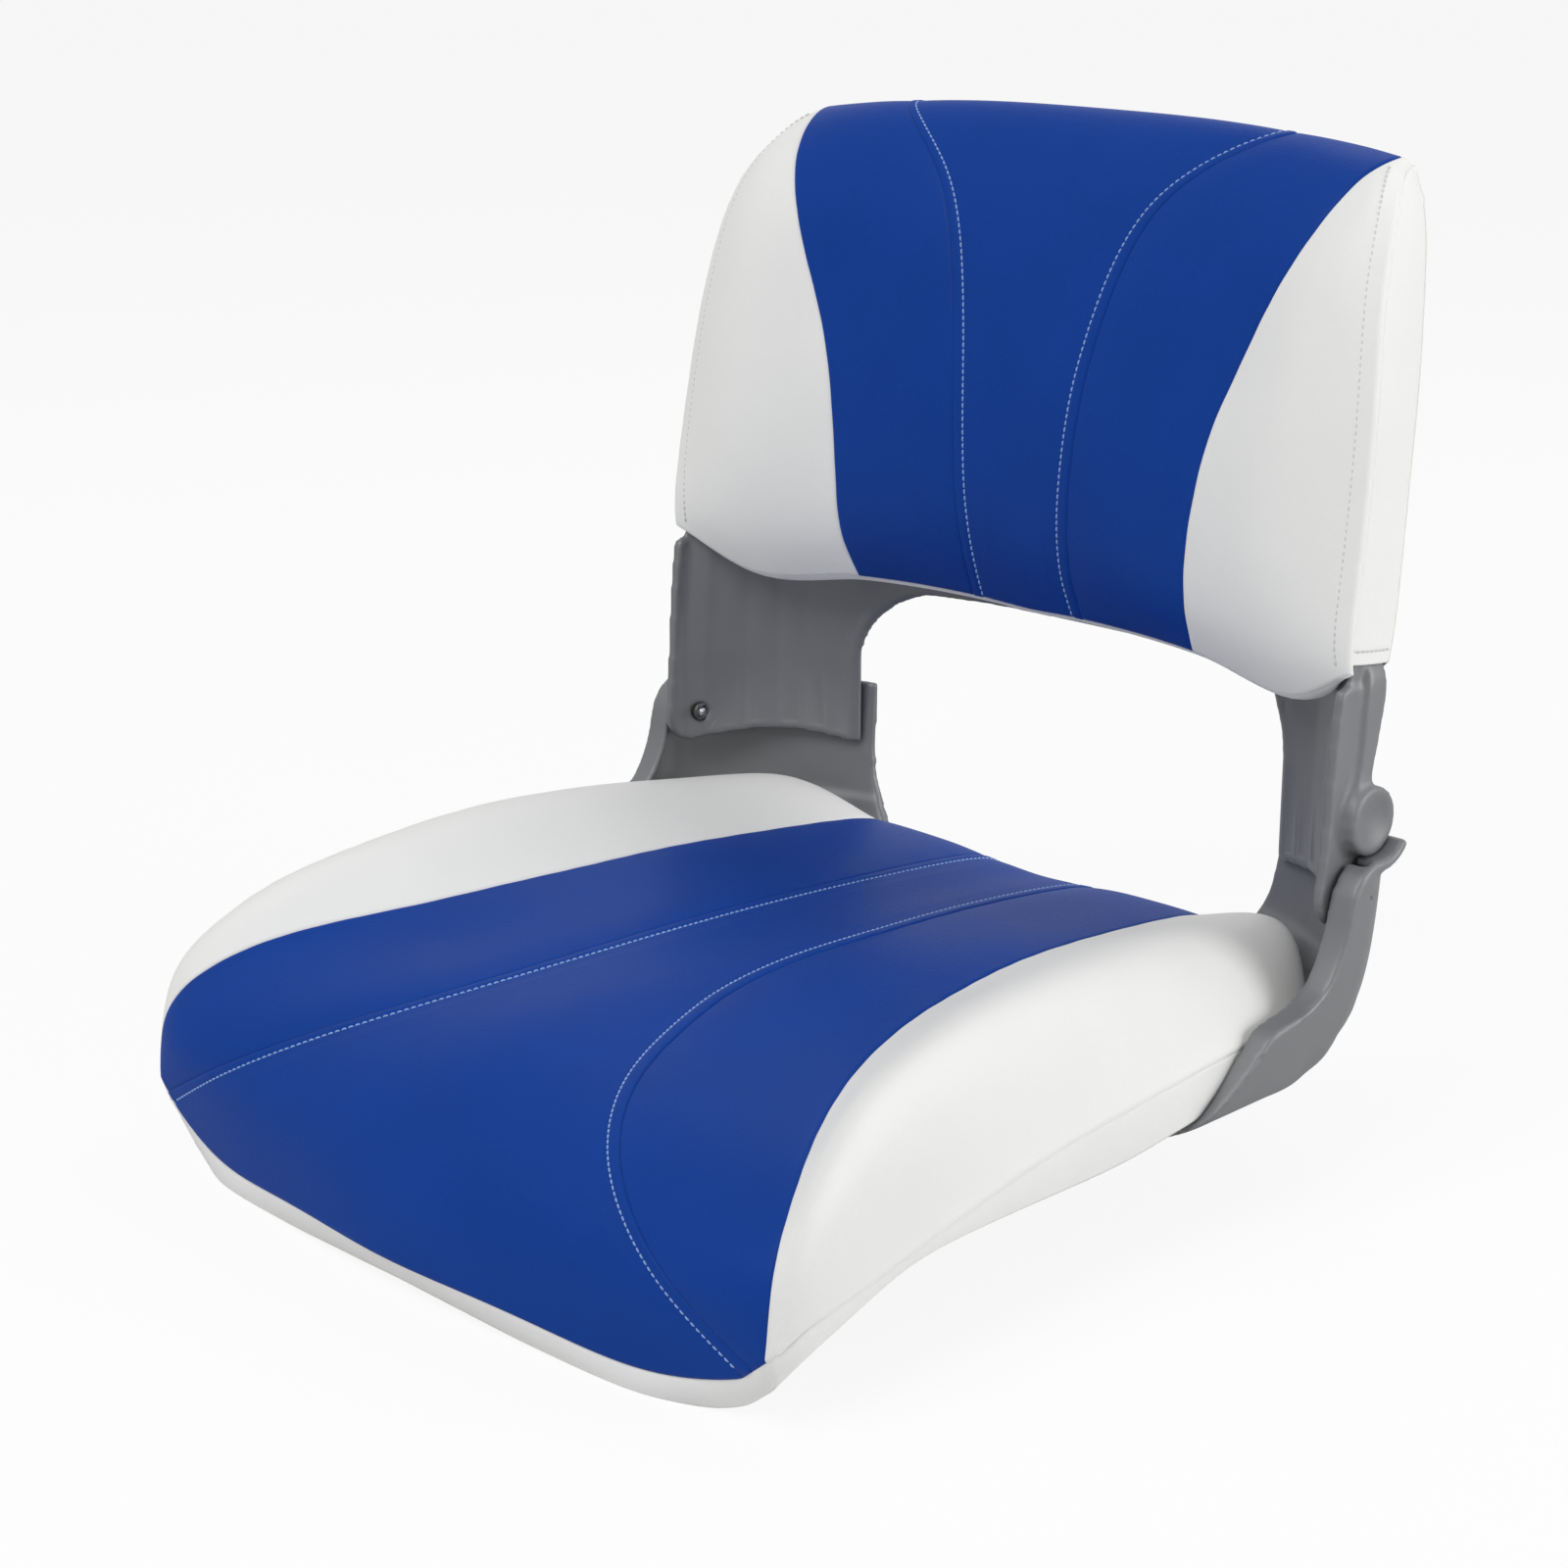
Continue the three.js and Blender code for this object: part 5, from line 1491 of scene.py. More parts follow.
@dataclass
class BackCushion(Cushion):
    """The padded cover that slips down over the back shell."""

    centre_reach: float = 30.0
    shell: ShellForm = field(default_factory=ShellForm)
    crest: float = 8.0
    bottom: float = 16.0
    hem_start: float = 0.3
    hem_depth: float = 7.0
    hem_lift: float = 0.25
    seam_allowance: float = 9.0
    side_lift: float = 1.5
    side_rows: tuple[float, float] = (0.35, 7.3)
    thread_past: float = 0.15
    wrap_reach: float = 0.45
    wrap_ends: tuple[float, float] = (1.2, 2.0)
    lower_fill: float = 0.5
    columns: int = 121
    rear_shares: tuple[float, ...] = (0, 0.003, 0.008, 0.015, 0.025)
    rear_rest: tuple[float, float, int] = (0.04, 1.0, 80)
    boxing_top: float = 0.996
    boxing_steps: int = 110
    boxing_shares: tuple[float, ...] = (
        0.0, 0.01, 0.03, 0.06, 0.1, 0.17, 0.28, 0.4, 0.5, 0.6, 0.72, 0.83, 0.9, 0.94, 0.97, 1.0,
    )
    boxing_fold: float = 2.0
    boxing_bulge: float = 2.2
    boxing_reach: float = 10.0
    under_shares: tuple[float, ...] = (0.0, 0.02, 0.05, 0.09, 0.14, 0.2, 0.3, 0.5, 0.7, 0.85, 0.95, 1.0)
    under_gap: float = 0.4
    under_depth: float = 1.0
    under_sag: float = 5.5
    under_reach: float = 5.0

    def wrap(self, across: Array) -> Array:
        """How much further than the crest the blue panels reach, by t."""
        return self.wrap_reach * (1 - ease(np.abs(across), *self.wrap_ends))

    def build(self) -> None:
        """Builds the panels, boxings, threads, rear panel and underside."""
        self.centre_panel(self.wrap)
        for side, sign in SIDES:
            self.side_panels(side, sign, self.wrap)
            self._boxing(side, sign)
        ends = (self.start + self.thread_start, self.end + self.thread_past)
        threads = self.topstitch(self.stitch_distance, self.thread_lift, *ends)
        Piece("back_topstitching", self.body, Finish.THREAD).build(self.palette, *threads)
        threads = self.topstitch(
            lambda v: self.seam_distance(v) - self.seam_allowance, self.side_lift, *self.side_rows
        )
        Piece("back_side_stitching", self.body, Finish.WHITE_THREAD).build(self.palette, *threads)
        t = np.linspace(-SEAM_T, SEAM_T, self.columns)
        self._rear(t)
        self._underside(t)

    def _lower(self, name: str, node: str, *others: str) -> Piece:
        """One of the cover's white pieces beside its panels, and the nodes it stands for."""
        return Piece(name, self.body, Finish.WHITE, [node, *others], self.lower_fill)

    def _rear(self, t: Array) -> None:
        """Builds the white panel behind the shell, from the seam over the top down to its hem.

        Args:
            t: its columns.
        """
        share = np.concatenate([self.rear_shares, np.linspace(*self.rear_rest)])
        start = self.crest + self.wrap(t)
        along = start[:, None] + share * (self.bottom - start[:, None])
        base = self.surface.points(np.repeat(t[:, None], len(share), 1), along)
        rear = self.shell.taut_rear(base[..., 0], base[..., 2])
        base[..., 1] = np.where(along > self.crest, np.maximum(base[..., 1], rear), base[..., 1])
        piece = self._lower("back_rear_panel", "back_cover_rear", "back_foam")
        piece.build(self.palette, base.reshape(-1, 3), grid_faces(*base.shape[:2], flip=True), LINING)

    def _boxing(self, side: str, sign: float) -> None:
        """Builds the strip down one side, between the front and rear seams, and its hem's stitching.

        Args:
            side: the side's name.
            sign: the side's sign along x.
        """
        share = np.linspace(0.0, self.boxing_top, self.boxing_steps)
        edge = np.full((1, len(share)), SEAM_T * sign)
        front = self.surface.points(edge, self.hem_start + share * (self.crest - self.hem_start))[0]
        rear = self.surface.points(edge, self.bottom - share * (self.bottom - self.crest))[0]
        rear[:, 1] = np.maximum(rear[:, 1], self.shell.taut_rear(rear[:, 0], rear[:, 2]))
        width = np.linalg.norm(rear - front, axis=-1)
        across = np.array(self.boxing_shares)
        grid = front + (rear - front) * across[:, None, None]
        normal, _ = outward(grid, self.body)
        near = np.minimum(across, 1 - across)[:, None] * width
        bulge = self.boxing_bulge * (1 - np.exp(-near / self.boxing_reach))
        height = (bulge - rolled(near, self.boxing_fold)) * np.minimum(width / NARROW, 1.0)
        lifted = grid + normal * height[..., None]
        piece = self._lower(f"back_boxing_{side}", f"back_cover_side_{side}")
        piece.build(self.palette, lifted.reshape(-1, 3), grid_faces(*grid.shape[:2], flip=sign > 0), COVER)
        row = int(np.argmin(np.abs(travel(front) - self.hem_depth)))
        path, facing = lifted[1:-1, row], normal[1:-1, row]
        threads = StitchRow().mesh(path + facing * self.hem_lift, facing)
        Piece(f"back_hem_stitching_{side}", self.body, Finish.WHITE_THREAD).build(self.palette, *threads)

    def _underside(self, t: Array) -> None:
        """Builds the strip under the cushion, from the front panels' lower seam back to the shell.

        Args:
            t: its columns.
        """
        front = self.surface.points(t[:, None], np.array([self.start]))[:, 0]
        shell = front.copy()
        wall = self.shell.front(front[:, 0], front[:, 2]) - self.under_gap
        shell[:, 1] = np.maximum(wall, front[:, 1] + self.under_depth)
        shares = np.array(self.under_shares)
        grid = front[:, None] + (shell - front)[:, None] * shares[:, None]
        depth = np.linalg.norm(shell - front, axis=-1)[:, None]
        near = np.minimum(depth * shares, depth * (1 - shares))
        grid[..., 2] -= self.under_sag * (1 - np.exp(-near / self.under_reach))
        piece = self._lower("back_underside", "back_cover_underside")
        piece.build(self.palette, grid.reshape(-1, 3), grid_faces(*grid.shape[:2]), LINING)


# Surroundings


@dataclass(frozen=True)
class Lamp:
    """A square soft lamp that faces the middle of the seat, in metres and watts."""

    name: str
    place: tuple[float, float, float]
    width: float
    power: float
    aim: tuple[float, float, float] = (0.0, 0.0, 0.25)

    def build(self) -> None:
        """Makes the lamp."""
        data = bpy.data.lights.new(self.name, "AREA")
        data.size = self.width
        data.energy = self.power
        lamp = bpy.data.objects.new(self.name, data)
        bpy.context.scene.collection.objects.link(lamp)
        lamp.location = self.place
        lamp.rotation_mode = "QUATERNION"
        lamp.rotation_quaternion = (Vector(self.aim) - Vector(self.place)).to_track_quat("-Z", "Y")


@dataclass
class Studio:
    """The pale floor, the soft lamps, the white surround and the camera, in metres."""

    camera_place: tuple[float, float, float] = (1.1405, -1.1474, 0.7009)
    camera_turn: float = 0.7858
    camera_fall: float = 0.2991
    lens_mm: float = 72.0
    sensor_mm: float = 36.0
    sight: float = 100.0
    floor_half: float = 30.0
    floor_shade: float = 0.86
    floor_roughness: float = 0.9
    shadow_share: float = 0.1
    world_light: float = 0.3
    world_seen: float = 1.0
    lamps: tuple[Lamp, ...] = (
        Lamp("key", (0.1, -2.0, 2.8), 2.0, 65.0),
        Lamp("side", (2.3, 1.2, 0.95), 1.4, 34.0),
        Lamp("rear", (-0.6, 1.7, 2.8), 1.8, 15.0),
    )

    def build(self) -> None:
        """Builds everything round the seat."""
        bpy.context.scene.view_settings.view_transform = "Standard"
        self._camera()
        self._world()
        self._floor()
        for lamp in self.lamps:
            lamp.build()

    def _camera(self) -> None:
        """The camera, at the photograph's viewing angle."""
        data = bpy.data.cameras.new("camera")
        data.lens = self.lens_mm
        data.sensor_width = self.sensor_mm
        data.sensor_fit = "HORIZONTAL"
        data.clip_end = self.sight
        camera = bpy.data.objects.new("camera", data)
        bpy.context.scene.collection.objects.link(camera)
        camera.location = self.camera_place
        camera.rotation_euler = (math.pi / 2 - self.camera_fall, 0.0, self.camera_turn)
        bpy.context.scene.camera = camera

    def _world(self) -> None:
        """A soft white surround, pure white where the camera or a reflection sees it."""
        world = bpy.data.worlds.new("surround")
        bpy.context.scene.world = world
        nodes = Nodes(world)
        camera = nodes.node("ShaderNodeLightPath", output="Is Camera Ray")
        glossy = nodes.node("ShaderNodeLightPath", output="Is Glossy Ray")
        values = {"Value": camera.or_more(glossy), "To Min": self.world_light, "To Max": self.world_seen}
        strength = nodes.node("ShaderNodeMapRange", inputs=values)
        back = nodes.tree.nodes["Background"]
        nodes.connect(back.inputs["Color"], WHITE)
        nodes.connect(back.inputs["Strength"], strength)

    def _floor(self) -> None:
        """A wide floor that glows white for the camera and keeps a faint shadow."""
        mesh = bpy.data.meshes.new("floor")
        h = self.floor_half
        mesh.from_pydata([(-h, -h, 0), (h, -h, 0), (h, h, 0), (-h, h, 0)], [], [(0, 1, 2, 3)])
        floor = bpy.data.objects.new("floor", mesh)
        bpy.context.scene.collection.objects.link(floor)
        shader = Shader("floor_white")
        shader.feed(
            Base_Color=tinted(WHITE[:3], self.floor_shade),
            Roughness=self.floor_roughness,
            Specular_IOR_Level=0.0,
        )
        glow = shader.node("ShaderNodeEmission", inputs={"Color": WHITE, "Strength": self.world_seen})
        rays = shader.node("ShaderNodeLightPath", output="Is Camera Ray")
        plain = Wire(shader, shader.surface.outputs[0])
        mixed = shader.node(
            "ShaderNodeMixShader", inputs={0: rays * (1 - self.shadow_share), 1: plain, 2: glow}
        )
        shader.connect(shader.tree.nodes["Material Output"].inputs["Surface"], mixed)
        mesh.materials.append(shader.material)


# Moulded shells and hinge screws


@dataclass
class Solid:
    """A closed body, in millimetres, that others are joined to or cut from."""

    thing: bpy.types.Object

    @classmethod
    def made(cls, points: Array, faces: Sequence[Face], weld: float = 1e-3) -> Solid:
        """A solid from its vertices and faces, with its faces turned to look out.

        Args:
            points: the vertices.
            faces: each face's vertices.
            weld: vertices nearer to each other than this become one.

        Returns:
            The solid.
        """
        mesh = bpy.data.meshes.new("form")
        mesh.from_pydata(np.asarray(points).tolist(), [], [list(map(int, face)) for face in faces])
        shell = bmesh.new()
        shell.from_mesh(mesh)
        bmesh.ops.remove_doubles(shell, verts=shell.verts, dist=weld)
        bmesh.ops.recalc_face_normals(shell, faces=shell.faces)
        shell.to_mesh(mesh)
        shell.free()
        thing = bpy.data.objects.new("form", mesh)
        bpy.context.scene.collection.objects.link(thing)
        return cls(thing)

    @classmethod
    def copied(cls, node: bpy.types.Object) -> Solid:
        """A solid with the shape of one of the frame's."""
        points = [list(node.matrix_world @ vertex.co) for vertex in node.data.vertices]
        return cls.made(np.array(points) / MM, [tuple(face.vertices) for face in node.data.polygons])

    @classmethod
    def stack(cls, outlines: Array) -> Solid:
        """A solid through outlines with as many points each, closed at both ends."""
        return cls.made(outlines.reshape(-1, 3), tube_faces(*outlines.shape[:2]))

    @classmethod
    def turned(
        cls, profile: Sequence[tuple[float, float]], centre: Sequence[float], sign: float, steps: int = 64
    ) -> Solid:
        """A solid turned round a line along x.

        Args:
            profile: its (radius, x) pairs.
            centre: where the line is in y and z.
            sign: 1, or -1 for the solid's mirror image in x.
            steps: how many straight sides it has.

        Returns:
            The solid.
        """
        turn = np.linspace(0, 2 * np.pi, steps, endpoint=False)
        y, z = centre
        rings = [
            np.stack([np.full(steps, x * sign), y + r * np.cos(turn), z + r * np.sin(turn)], -1)
            for r, x in profile
        ]
        return cls.stack(np.array(rings))

    def meet(self, others: Sequence[Solid], operation: str) -> Solid:
        """Joins others to the solid or cuts them from it, and removes them.

        Args:
            others: the other solids.
            operation: the Boolean modifier's operation.

        Returns:
            This solid.
        """
        for other in others:
            step = self.thing.modifiers.new("meet", "BOOLEAN")
            step.solver = "MANIFOLD"
            step.operation = operation
            step.object = other.thing
            self._bake()
            bpy.data.objects.remove(other.thing)
        return self

    def rounded(
        self,
        voxel: float,
        passes: int,
        kept: float,
        moved: Callable[[Array], Array] | None = None,
        strength: float = 0.5,
    ) -> Solid:
        """Softens the solid's edges as a mould does, with an even mesh, and thins the mesh.

        Args:
            voxel: size of the even mesh's cells.
            passes: how many times the even mesh is smoothed.
            kept: the share of the faces that is kept.
            moved: gives the even mesh's points their new places before the smoothing.
            strength: how strong each pass of the smoothing is.

        Returns:
            This solid.
        """
        remesh = self.thing.modifiers.new("Remesh", "REMESH")
        remesh.mode = "VOXEL"
        remesh.voxel_size = voxel
        self._bake()
        if moved is not None:
            mesh = self.thing.data
            mesh.vertices.foreach_set("co", moved(self.points()).ravel())
            mesh.update()
        smooth = self.thing.modifiers.new("Smooth", "SMOOTH")
        smooth.factor = strength
        smooth.iterations = passes
        thin = self.thing.modifiers.new("Thin", "DECIMATE")
        thin.ratio = kept
        self._bake()
        return self

    def _bake(self) -> None:
        """Makes the modifiers' result the mesh."""
        bpy.context.view_layer.update()
        seen = self.thing.evaluated_get(bpy.context.evaluated_depsgraph_get())
        mesh, old = bpy.data.meshes.new_from_object(seen), self.thing.data
        self.thing.modifiers.clear()
        self.thing.data = mesh
        bpy.data.meshes.remove(old)

    def points(self) -> Array:
        """The solid's vertices.

        Returns:
            One row for each.
        """
        places = np.empty(len(self.thing.data.vertices) * 3)
        self.thing.data.vertices.foreach_get("co", places)
        return places.reshape(-1, 3)

    def release(self) -> Mesh:
        """Removes the solid and hands over its shape.

        Returns:
            Its vertices and faces.
        """
        points = self.points()
        faces = [tuple(face.vertices) for face in self.thing.data.polygons]
        bpy.data.objects.remove(self.thing)
        return points, faces


@dataclass
class HingeScrew:
    """A hinge screw's domed and crossed head, and a dark steel ring under and round it whose dark colour is
    painted shade of the recess.

    The profiles are (radius, x) pairs, with x measured from the screw's inner face outward.
    """

    palette: Palette
    nodes: dict[str, bpy.types.Object]
    recess: tuple[tuple[float, float], ...] = ((5.2, -1.0), (5.2, 0.9))
    dome: tuple[tuple[float, float], ...] = (
        (3.0, 1.2), (3.0, -0.2), (2.8, -0.6), (2.2, -1.0), (1.3, -1.3), (0.3, -1.4),
    )
    cross_turn: float = 0.35
    cross_half: tuple[float, float] = (1.8, 0.35)
    cross_depth: tuple[float, float] = (-2.5, -0.5)
    # The dark ring's outline and the holes cut from it; its dark finish is painted shade of the recess
    recess_shade: tuple[tuple[float, float], ...] = ((6.0, 3.4), (6.0, -0.15), (5.6, -0.4))
    recess_shade_holes: tuple[tuple[tuple[float, float], ...], ...] = (
        ((4.9, 4.0), (4.9, 0.88)), ((3.2, 1.5), (3.2, -1.0)),
    )

    def build(self, side: str, sign: float) -> None:
        """Makes the screw of one side, and the dark ring of painted shade that lines its recess.

        Args:
            side: the side's name.
            sign: the side's sign along x.
        """
        screw = Solid.copied(self.nodes[f"hinge_screw_{side}"])
        face = float(np.abs(screw.points()[:, 0]).min())
        screw.meet([self._turned(self.recess, face, sign)], "DIFFERENCE")
        screw.meet([self._turned(self.dome, face, sign)], "UNION")
        slots = [self._slot(turn, face, sign) for turn in (self.cross_turn, self.cross_turn + np.pi / 2)]
        screw.meet(slots, "DIFFERENCE")
        piece = Piece(f"hinge_screw_{side}_crossed", "seat", Finish.STEEL, [f"hinge_screw_{side}"])
        piece.build(self.palette, *screw.release()).data.shade_flat()
        # A dark ring lining the recess round the head: its dark finish is painted shade
        recess_shade = self._turned(self.recess_shade, face, sign)
        recess_shade.meet([self._turned(hole, face, sign) for hole in self.recess_shade_holes], "DIFFERENCE")
        Piece(f"hinge_recess_shade_{side}", "seat", Finish.PAINTED_SHADE_STEEL).build(self.palette, *recess_shade.release())

    def _turned(self, profile: Sequence[tuple[float, float]], face: float, sign: float) -> Solid:
        """A profile turned round the hinge's line, from a screw's inner face on."""
        return Solid.turned([(radius, face + x) for radius, x in profile], HINGE_LINE, sign)

    def _slot(self, turn: float, face: float, sign: float) -> Solid:
        """One bar of the cross.

        Args:
            turn: its direction.
            face: the screw's inner face along x.
            sign: the side's sign along x.

        Returns:
            What is cut out.
        """
        along = np.array([np.cos(turn), np.sin(turn)])
        wide = np.array([-along[1], along[0]])
        length, width = self.cross_half
        ways = ((1, 1), (-1, 1), (-1, -1), (1, -1))
        corners = [np.array(HINGE_LINE) + length * a * along + width * b * wide for a, b in ways]
        ends = [[[(face + x) * sign, *corner] for corner in corners] for x in self.cross_depth]
        return Solid.stack(np.array(ends))


@dataclass
class Moulding:
    """What the two mouldings share: the frame's solid, and how softly it is rounded."""

    palette: Palette
    nodes: dict[str, bpy.types.Object]
    voxel: float = 1.5
    passes: int = 12


@dataclass
class Pan(Moulding):
    """The moulded pan with its ears.

    A level is its height, half width, front, corner and rear, as shares of the size. The
    points of the ears' rear edge are shares of the ears' size, which is their rear and height.
    The bore's profile is (radius, x) pairs, with x measured from the ear's outer face.
    """

    kept: float = 0.25
    size: tuple[float, float, float, float, float] = (184.0, 268.0, 236.0, 254.0, 254.0)
    levels: tuple[tuple[float, float, float, float, float], ...] = (
        (0, 0.392, 0.445, 0.295, 0.413), (0.033, 0.425, 0.483, 0.323, 0.449),
        (0.109, 0.545, 0.636, 0.386, 0.551), (0.217, 0.716, 0.826, 0.441, 0.709),
        (0.315, 0.873, 0.983, 0.449, 0.843), (0.348, 0.951, 1, 0.433, 0.882),
        (0.402, 0.97, 1, 0.496, 0.921), (0.489, 0.985, 1, 0.595, 0.957), (0.598, 0.996, 1, 0.646, 0.98),
        (0.761, 1, 1, 0.669, 0.992), (1.1, 1, 1, 0.689, 1), (1.4, 1, 1, 0.689, 1),
    )
    fair_steps: int = 12
    fair_reach: int = 11
    bend: float = 0.1
    rear_flat: float = 0.68
    rear_sides: int = 12
    fair_sides: int = 120
    side_steps: int = 40
    fine: int = 8
    turns: int = 360
    ear_size: tuple[float, float] = (254.0, 184.0)
    ear_edge: tuple[tuple[float, float], ...] = (
        (0.114, 0.326), (0.268, 0.533), (0.323, 0.592), (0.394, 0.609), (0.441, 0.628),
        (0.483, 0.663), (0.508, 0.707), (0.527, 0.755), (0.541, 0.808), (0.55, 0.861),
        (0.561, 0.913), (0.585, 0.96), (0.614, 0.984),
    )
    ear_near: tuple[float, float] = (8.0, 24.0)
    ear_share: float = 0.6
    bore: tuple[tuple[float, float], ...] = ((1.2, -1.6), (1.6, -0.5), (1.8, 3.0))
    bore_sides: int = 24

    def build(self) -> None:
        """Makes the pan, with a small hole in each ear's outer face on the hinge's line."""
        whole = Solid.copied(self.nodes["seat_shell"])
        whole.rounded(self.voxel, self.passes, self.kept, self._faired)
        profile = [(radius, self.size[1] + x) for radius, x in self.bore]
        bores = [Solid.turned(profile, HINGE_LINE, sign, self.bore_sides) for _, sign in SIDES]
        points, faces = whole.meet(bores, "DIFFERENCE").release()
        pan = Piece("seat_shell_moulded", "seat", Finish.PLASTIC, ["seat_shell"])
        pan.build(self.palette, points, faces)

    def _faired(self, points: Array) -> Array:
        """Moves the pan's points from its straight-sided levels to the smooth line through them.

        Args:
            points: the points as they are.

        Returns:
            Their new places.
        """
        levels = np.array(self.levels) * np.array(self.size)
        smooth = faired(dense(levels.tolist(), self.fair_steps), self.fair_reach)
        x, y, z = points.T.copy()
        widen, lengthen = [look_up(smooth, z, k) / np.interp(z, levels[:, 0], levels[:, k]) for k in (1, 2)]
        swell = self._reach(smooth, points, self.fair_sides) / self._reach(levels, points, self.rear_sides)
        behind = y > 0
        faired_x = x * np.where(behind, swell, widen)
        faired_y = y * np.where(behind, swell, lengthen)
        ear = np.array(self.ear_edge)[:, ::-1] * np.array(self.ear_size)[::-1]
        straight = np.interp(z, ear[:, 0], ear[:, 1])
        shift = look_up(dense(ear.tolist(), self.fair_steps), z) - straight
        on_ear = np.abs(x) > self.ear_share * self.size[1]
        near = (1 - ease(np.abs(y - straight), *self.ear_near)) * on_ear
        held = (z > ear[0, 0]) & (z < ear[-1, 0])
        return np.stack([faired_x, faired_y + shift * near * held, z], -1)

    def _reach(self, levels: Array, points: Array, sides: int) -> Array:
        """How far out the pan's rear half reaches at each point's height and direction.

        Args:
            levels: height, half width, front, corner and rear of each level.
            points: the points asked for.
            sides: how many straight sides the rear curve of a level has.

        Returns:
            The distance from the middle, one for each point.
        """
        grid = np.array([self._level_reach(level, sides) for level in levels])
        heights = np.maximum.accumulate(levels[:, 0])
        row = np.interp(points[:, 2], heights, np.arange(len(heights)))
        angle = np.arctan2(np.maximum(points[:, 1], 0), np.abs(points[:, 0]))
        column = angle / (np.pi / 2) * self.turns
        low = np.minimum(row.astype(int), len(grid) - 2)
        left = np.minimum(column.astype(int), self.turns - 1)
        up, right = row - low, column - left
        below = grid[low, left] * (1 - right) + grid[low, left + 1] * right
        above = grid[low + 1, left] * (1 - right) + grid[low + 1, left + 1] * right
        return below * (1 - up) + above * up

    def _level_reach(self, level: Array, sides: int) -> Array:
        """How far out one level's rear half reaches in each direction.

        Args:
            level: its height, half width, front, corner and rear.
            sides: how many straight sides its rear curve has.

        Returns:
            The distance from the middle, from straight sideways round to straight back.
        """
        _, half, _, corner, rear = level
        bend = corner * self.bend
        ends = [[half, corner - bend], [half, corner + bend], [half * self.rear_flat, rear], [0, rear]]
        part = np.linspace(0.0, 1.0, sides + 1)
        weights = [(1 - part) ** 3, 3 * part * (1 - part) ** 2, 3 * part**2 * (1 - part), part**3]
        curve = np.stack(weights, -1) @ np.array(ends)
        between = np.linspace(0.0, sides, sides * self.fine + 1)
        curve = np.stack([np.interp(between, np.arange(sides + 1), column) for column in curve.T], -1)
        line = np.vstack([np.linspace([half, 0.0], curve[0], self.side_steps), curve[1:]])
        angle = np.arctan2(line[:, 1], line[:, 0])
        turns = np.linspace(0.0, np.pi / 2, self.turns + 1)
        return np.interp(turns, angle, np.hypot(line[:, 0], line[:, 1]))


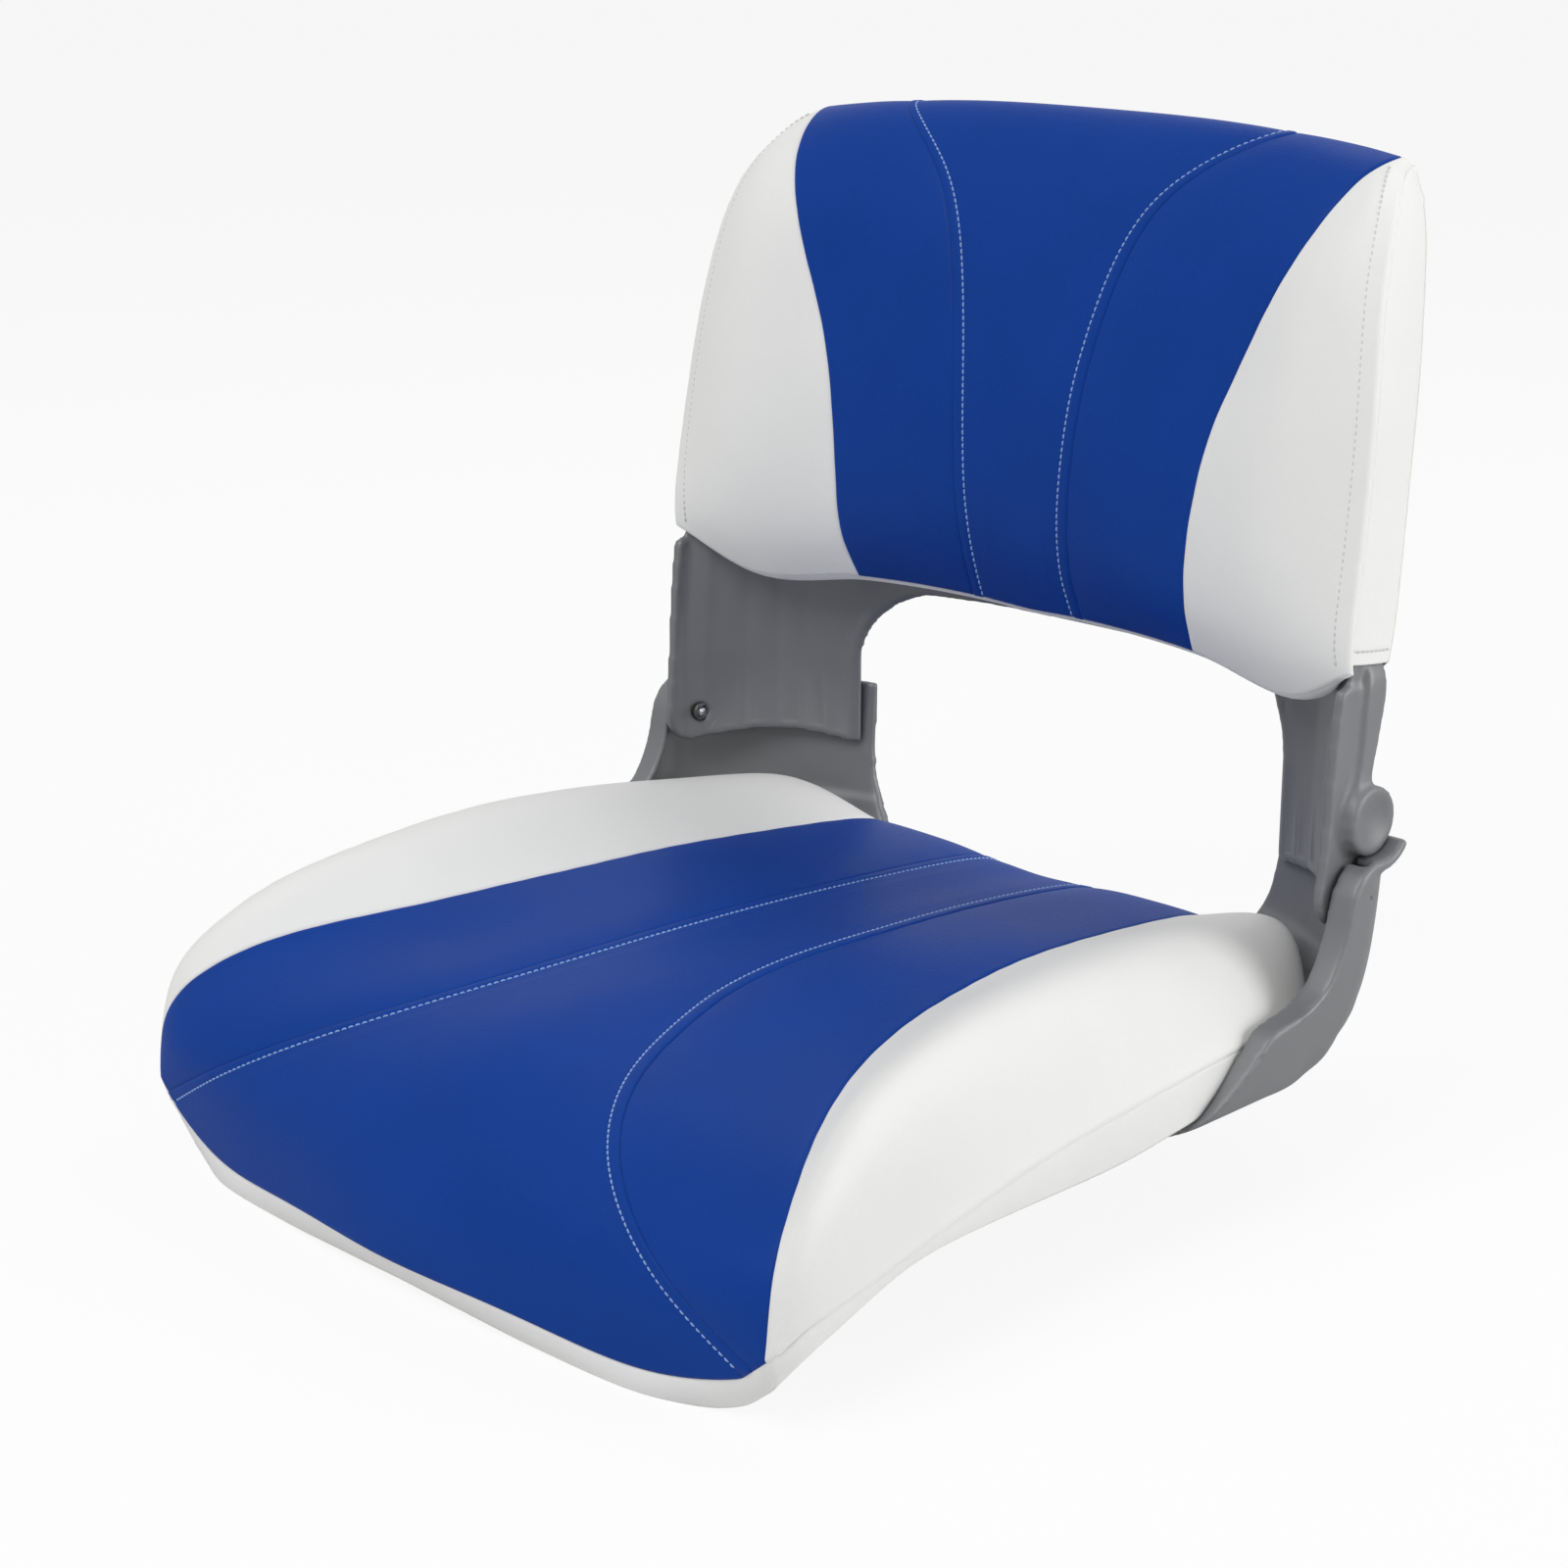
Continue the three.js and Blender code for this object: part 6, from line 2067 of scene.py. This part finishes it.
@dataclass
class BackShell(Moulding):
    """The back's moulded shell, with the ribs, dishes and sunk panels of its legs.

    A rib's row is its height, front, rear and outer face. The hub is the middle of the round
    stop in y and z. The window is the round corner between the legs: its middle in x and z,
    and its radius. The arch is the panels' lower edge, as shares of the way inward and of the
    foot's rise.
    """

    kept: float = 0.35
    hub: tuple[float, float] = (168.5, 201.0)
    ribs: tuple[tuple[float, float, float, float], ...] = (
        (284, 166.5, 180.5, 250.4), (276, 164.5, 181, 253.4), (262, 163, 180, 254),
        (250, 162.4, 177.5, 254), (240, 161.6, 175.5, 254), (230, 160.4, 173, 254),
        (222, 158, 171.5, 254.6), (212, 152, 170, 256.4), (201, 149.8, 169, 258.6),
        (193, 151.4, 169, 258.8),
    )
    rib_steps: int = 6
    rib_root: float = 246.0
    rib_bevel: float = 1.2
    dish_shift: tuple[float, float] = (1.0, 1.0)
    dish_radius: float = 15.4
    dish_floor: float = 254.9
    dish_rise: float = 4.2
    dish_steps: int = 12
    dish_middle: float = 0.4
    dish_past: float = 266.0
    panel_depth: float = 1.3
    panel_rim: tuple[float, float] = (4.5, 8.5)
    panel_reach: tuple[float, float] = (1.6, 2.6)
    panel_top: float = 320.0
    leg_edges: tuple[float, float] = (161.0, 241.0)
    leg_foot: tuple[float, float] = (143.0, 8.0)
    window: tuple[float, float, float] = (119.0, 201.0, 42.0)
    arch_place: tuple[float, float] = (9.5, 89.5)
    arch: tuple[tuple[float, float], ...] = (
        (0, 1.4), (0.02, 0.85), (0.05, 0.4), (0.09, 0.22), (0.15, 0.5), (0.4, 1), (0.7, 0.85),
        (0.95, 0.35), (1, 0.45),
    )

    def build(self) -> None:
        """Makes the back's shell."""
        back = Solid.copied(self.nodes["back_shell"])
        back.meet([self._rib(sign) for _, sign in SIDES], "UNION")
        back.meet([self._dish(sign) for _, sign in SIDES], "DIFFERENCE")
        points, faces = back.rounded(self.voxel, self.passes, self.kept).release()
        shell = Piece("back_shell_moulded", "back", Finish.PLASTIC, ["back_shell"])
        shell.build(self.palette, self._sunk(points), faces)

    def _sunk(self, points: Array) -> Array:
        """Presses a shallow panel into each leg's front, inside a rim that follows its edges.

        Args:
            points: the shell's points.

        Returns:
            Their new places.
        """
        inner, outer = self.leg_edges
        foot, rise = self.leg_foot
        past, span = self.arch_place
        x, y, z = np.abs(points[:, 0]), points[:, 1], points[:, 2]
        arch = np.array(self.arch)
        low = foot + rise * np.interp((outer + past - x) / span, arch[:, 0], arch[:, 1])
        middle, centre, radius = self.window
        round_corner = np.hypot(x - middle, z - centre) - radius
        beside = np.where(z > centre, round_corner, x - inner)
        border = np.minimum(np.minimum(beside, outer - x), z - low)
        off = np.abs(y - ShellForm().front(x, np.maximum(z, foot)))
        pressed = ease(border, *self.panel_rim) * (1 - ease(off, *self.panel_reach)) * (z < self.panel_top)
        flat = np.zeros(len(x))
        return points + np.stack([flat, self.panel_depth * pressed, flat], -1)

    def _rib(self, sign: float) -> Solid:
        """The raised rib down the rear of one leg's outer side, which runs into the round stop.

        Args:
            sign: the side's sign along x.

        Returns:
            What is joined on.
        """
        z, front, rear, face = dense(self.ribs, self.rib_steps).T
        root = np.full(len(z), self.rib_root)
        bevel = self.rib_bevel
        outline = [(root, front), (face - bevel, front), (face, front + bevel), (face, rear), (root, rear)]
        corners = [np.stack([x * sign, y, z], -1) for x, y in outline]
        return Solid.stack(np.stack(corners, 1))

    def _dish(self, sign: float) -> Solid:
        """The hollow in one round stop's outer face.

        Args:
            sign: the side's sign along x.

        Returns:
            What is cut out.
        """
        steps, radius, floor, rise = self.dish_steps, self.dish_radius, self.dish_floor, self.dish_rise
        bowl = [(radius * k / steps, floor + rise * (k / steps) ** 2) for k in range(1, steps + 1)]
        profile = [(self.dish_middle, floor), *bowl, (radius, self.dish_past)]
        return Solid.turned(profile, np.array(self.hub) + np.array(self.dish_shift), sign)


@dataclass
class FrameFinishes:
    """Dresses the frame's own solids; those that a new piece stands for are then not seen."""

    palette: Palette
    nodes: dict[str, bpy.types.Object]
    finishes: tuple[tuple[str, Finish], ...] = (
        ("seat_shell", Finish.PLASTIC), ("back_shell", Finish.PLASTIC), ("mount_nut", Finish.STEEL),
        ("board_screw", Finish.STEEL), ("hinge_screw", Finish.STEEL), ("hinge", Finish.BRASS),
        ("seat_board", Finish.BOARD), ("", Finish.WHITE),
    )

    def build(self) -> None:
        """Gives each solid the finish of the first name that its own begins with."""
        for name, node in self.nodes.items():
            finish = next(finish for start, finish in self.finishes if name.startswith(start))
            self.palette.dress(node, finish)


def main() -> None:
    """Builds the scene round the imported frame."""
    logging.basicConfig(level=logging.INFO, format="%(name)s: %(message)s")
    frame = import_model()
    nodes = frame["nodes"]
    palette = Palette()
    FrameFinishes(palette, nodes).build()
    seat = CoverSurface(LineTable.SEAT_TOP, SEAT_SIZE, dip=8.0)
    SeatCushion(seat, "seat", palette, start=0.0, end=11.0).build()
    back = CoverSurface(LineTable.BACK_LOOP, BACK_SIZE)
    BackCushion(back, "back", palette, start=0.0, end=8.0).build()
    for side, sign in SIDES:
        HingeScrew(palette, nodes).build(side, sign)
    Pan(palette, nodes).build()
    BackShell(palette, nodes).build()
    Studio().build()


if __name__ == "__main__":
    main()
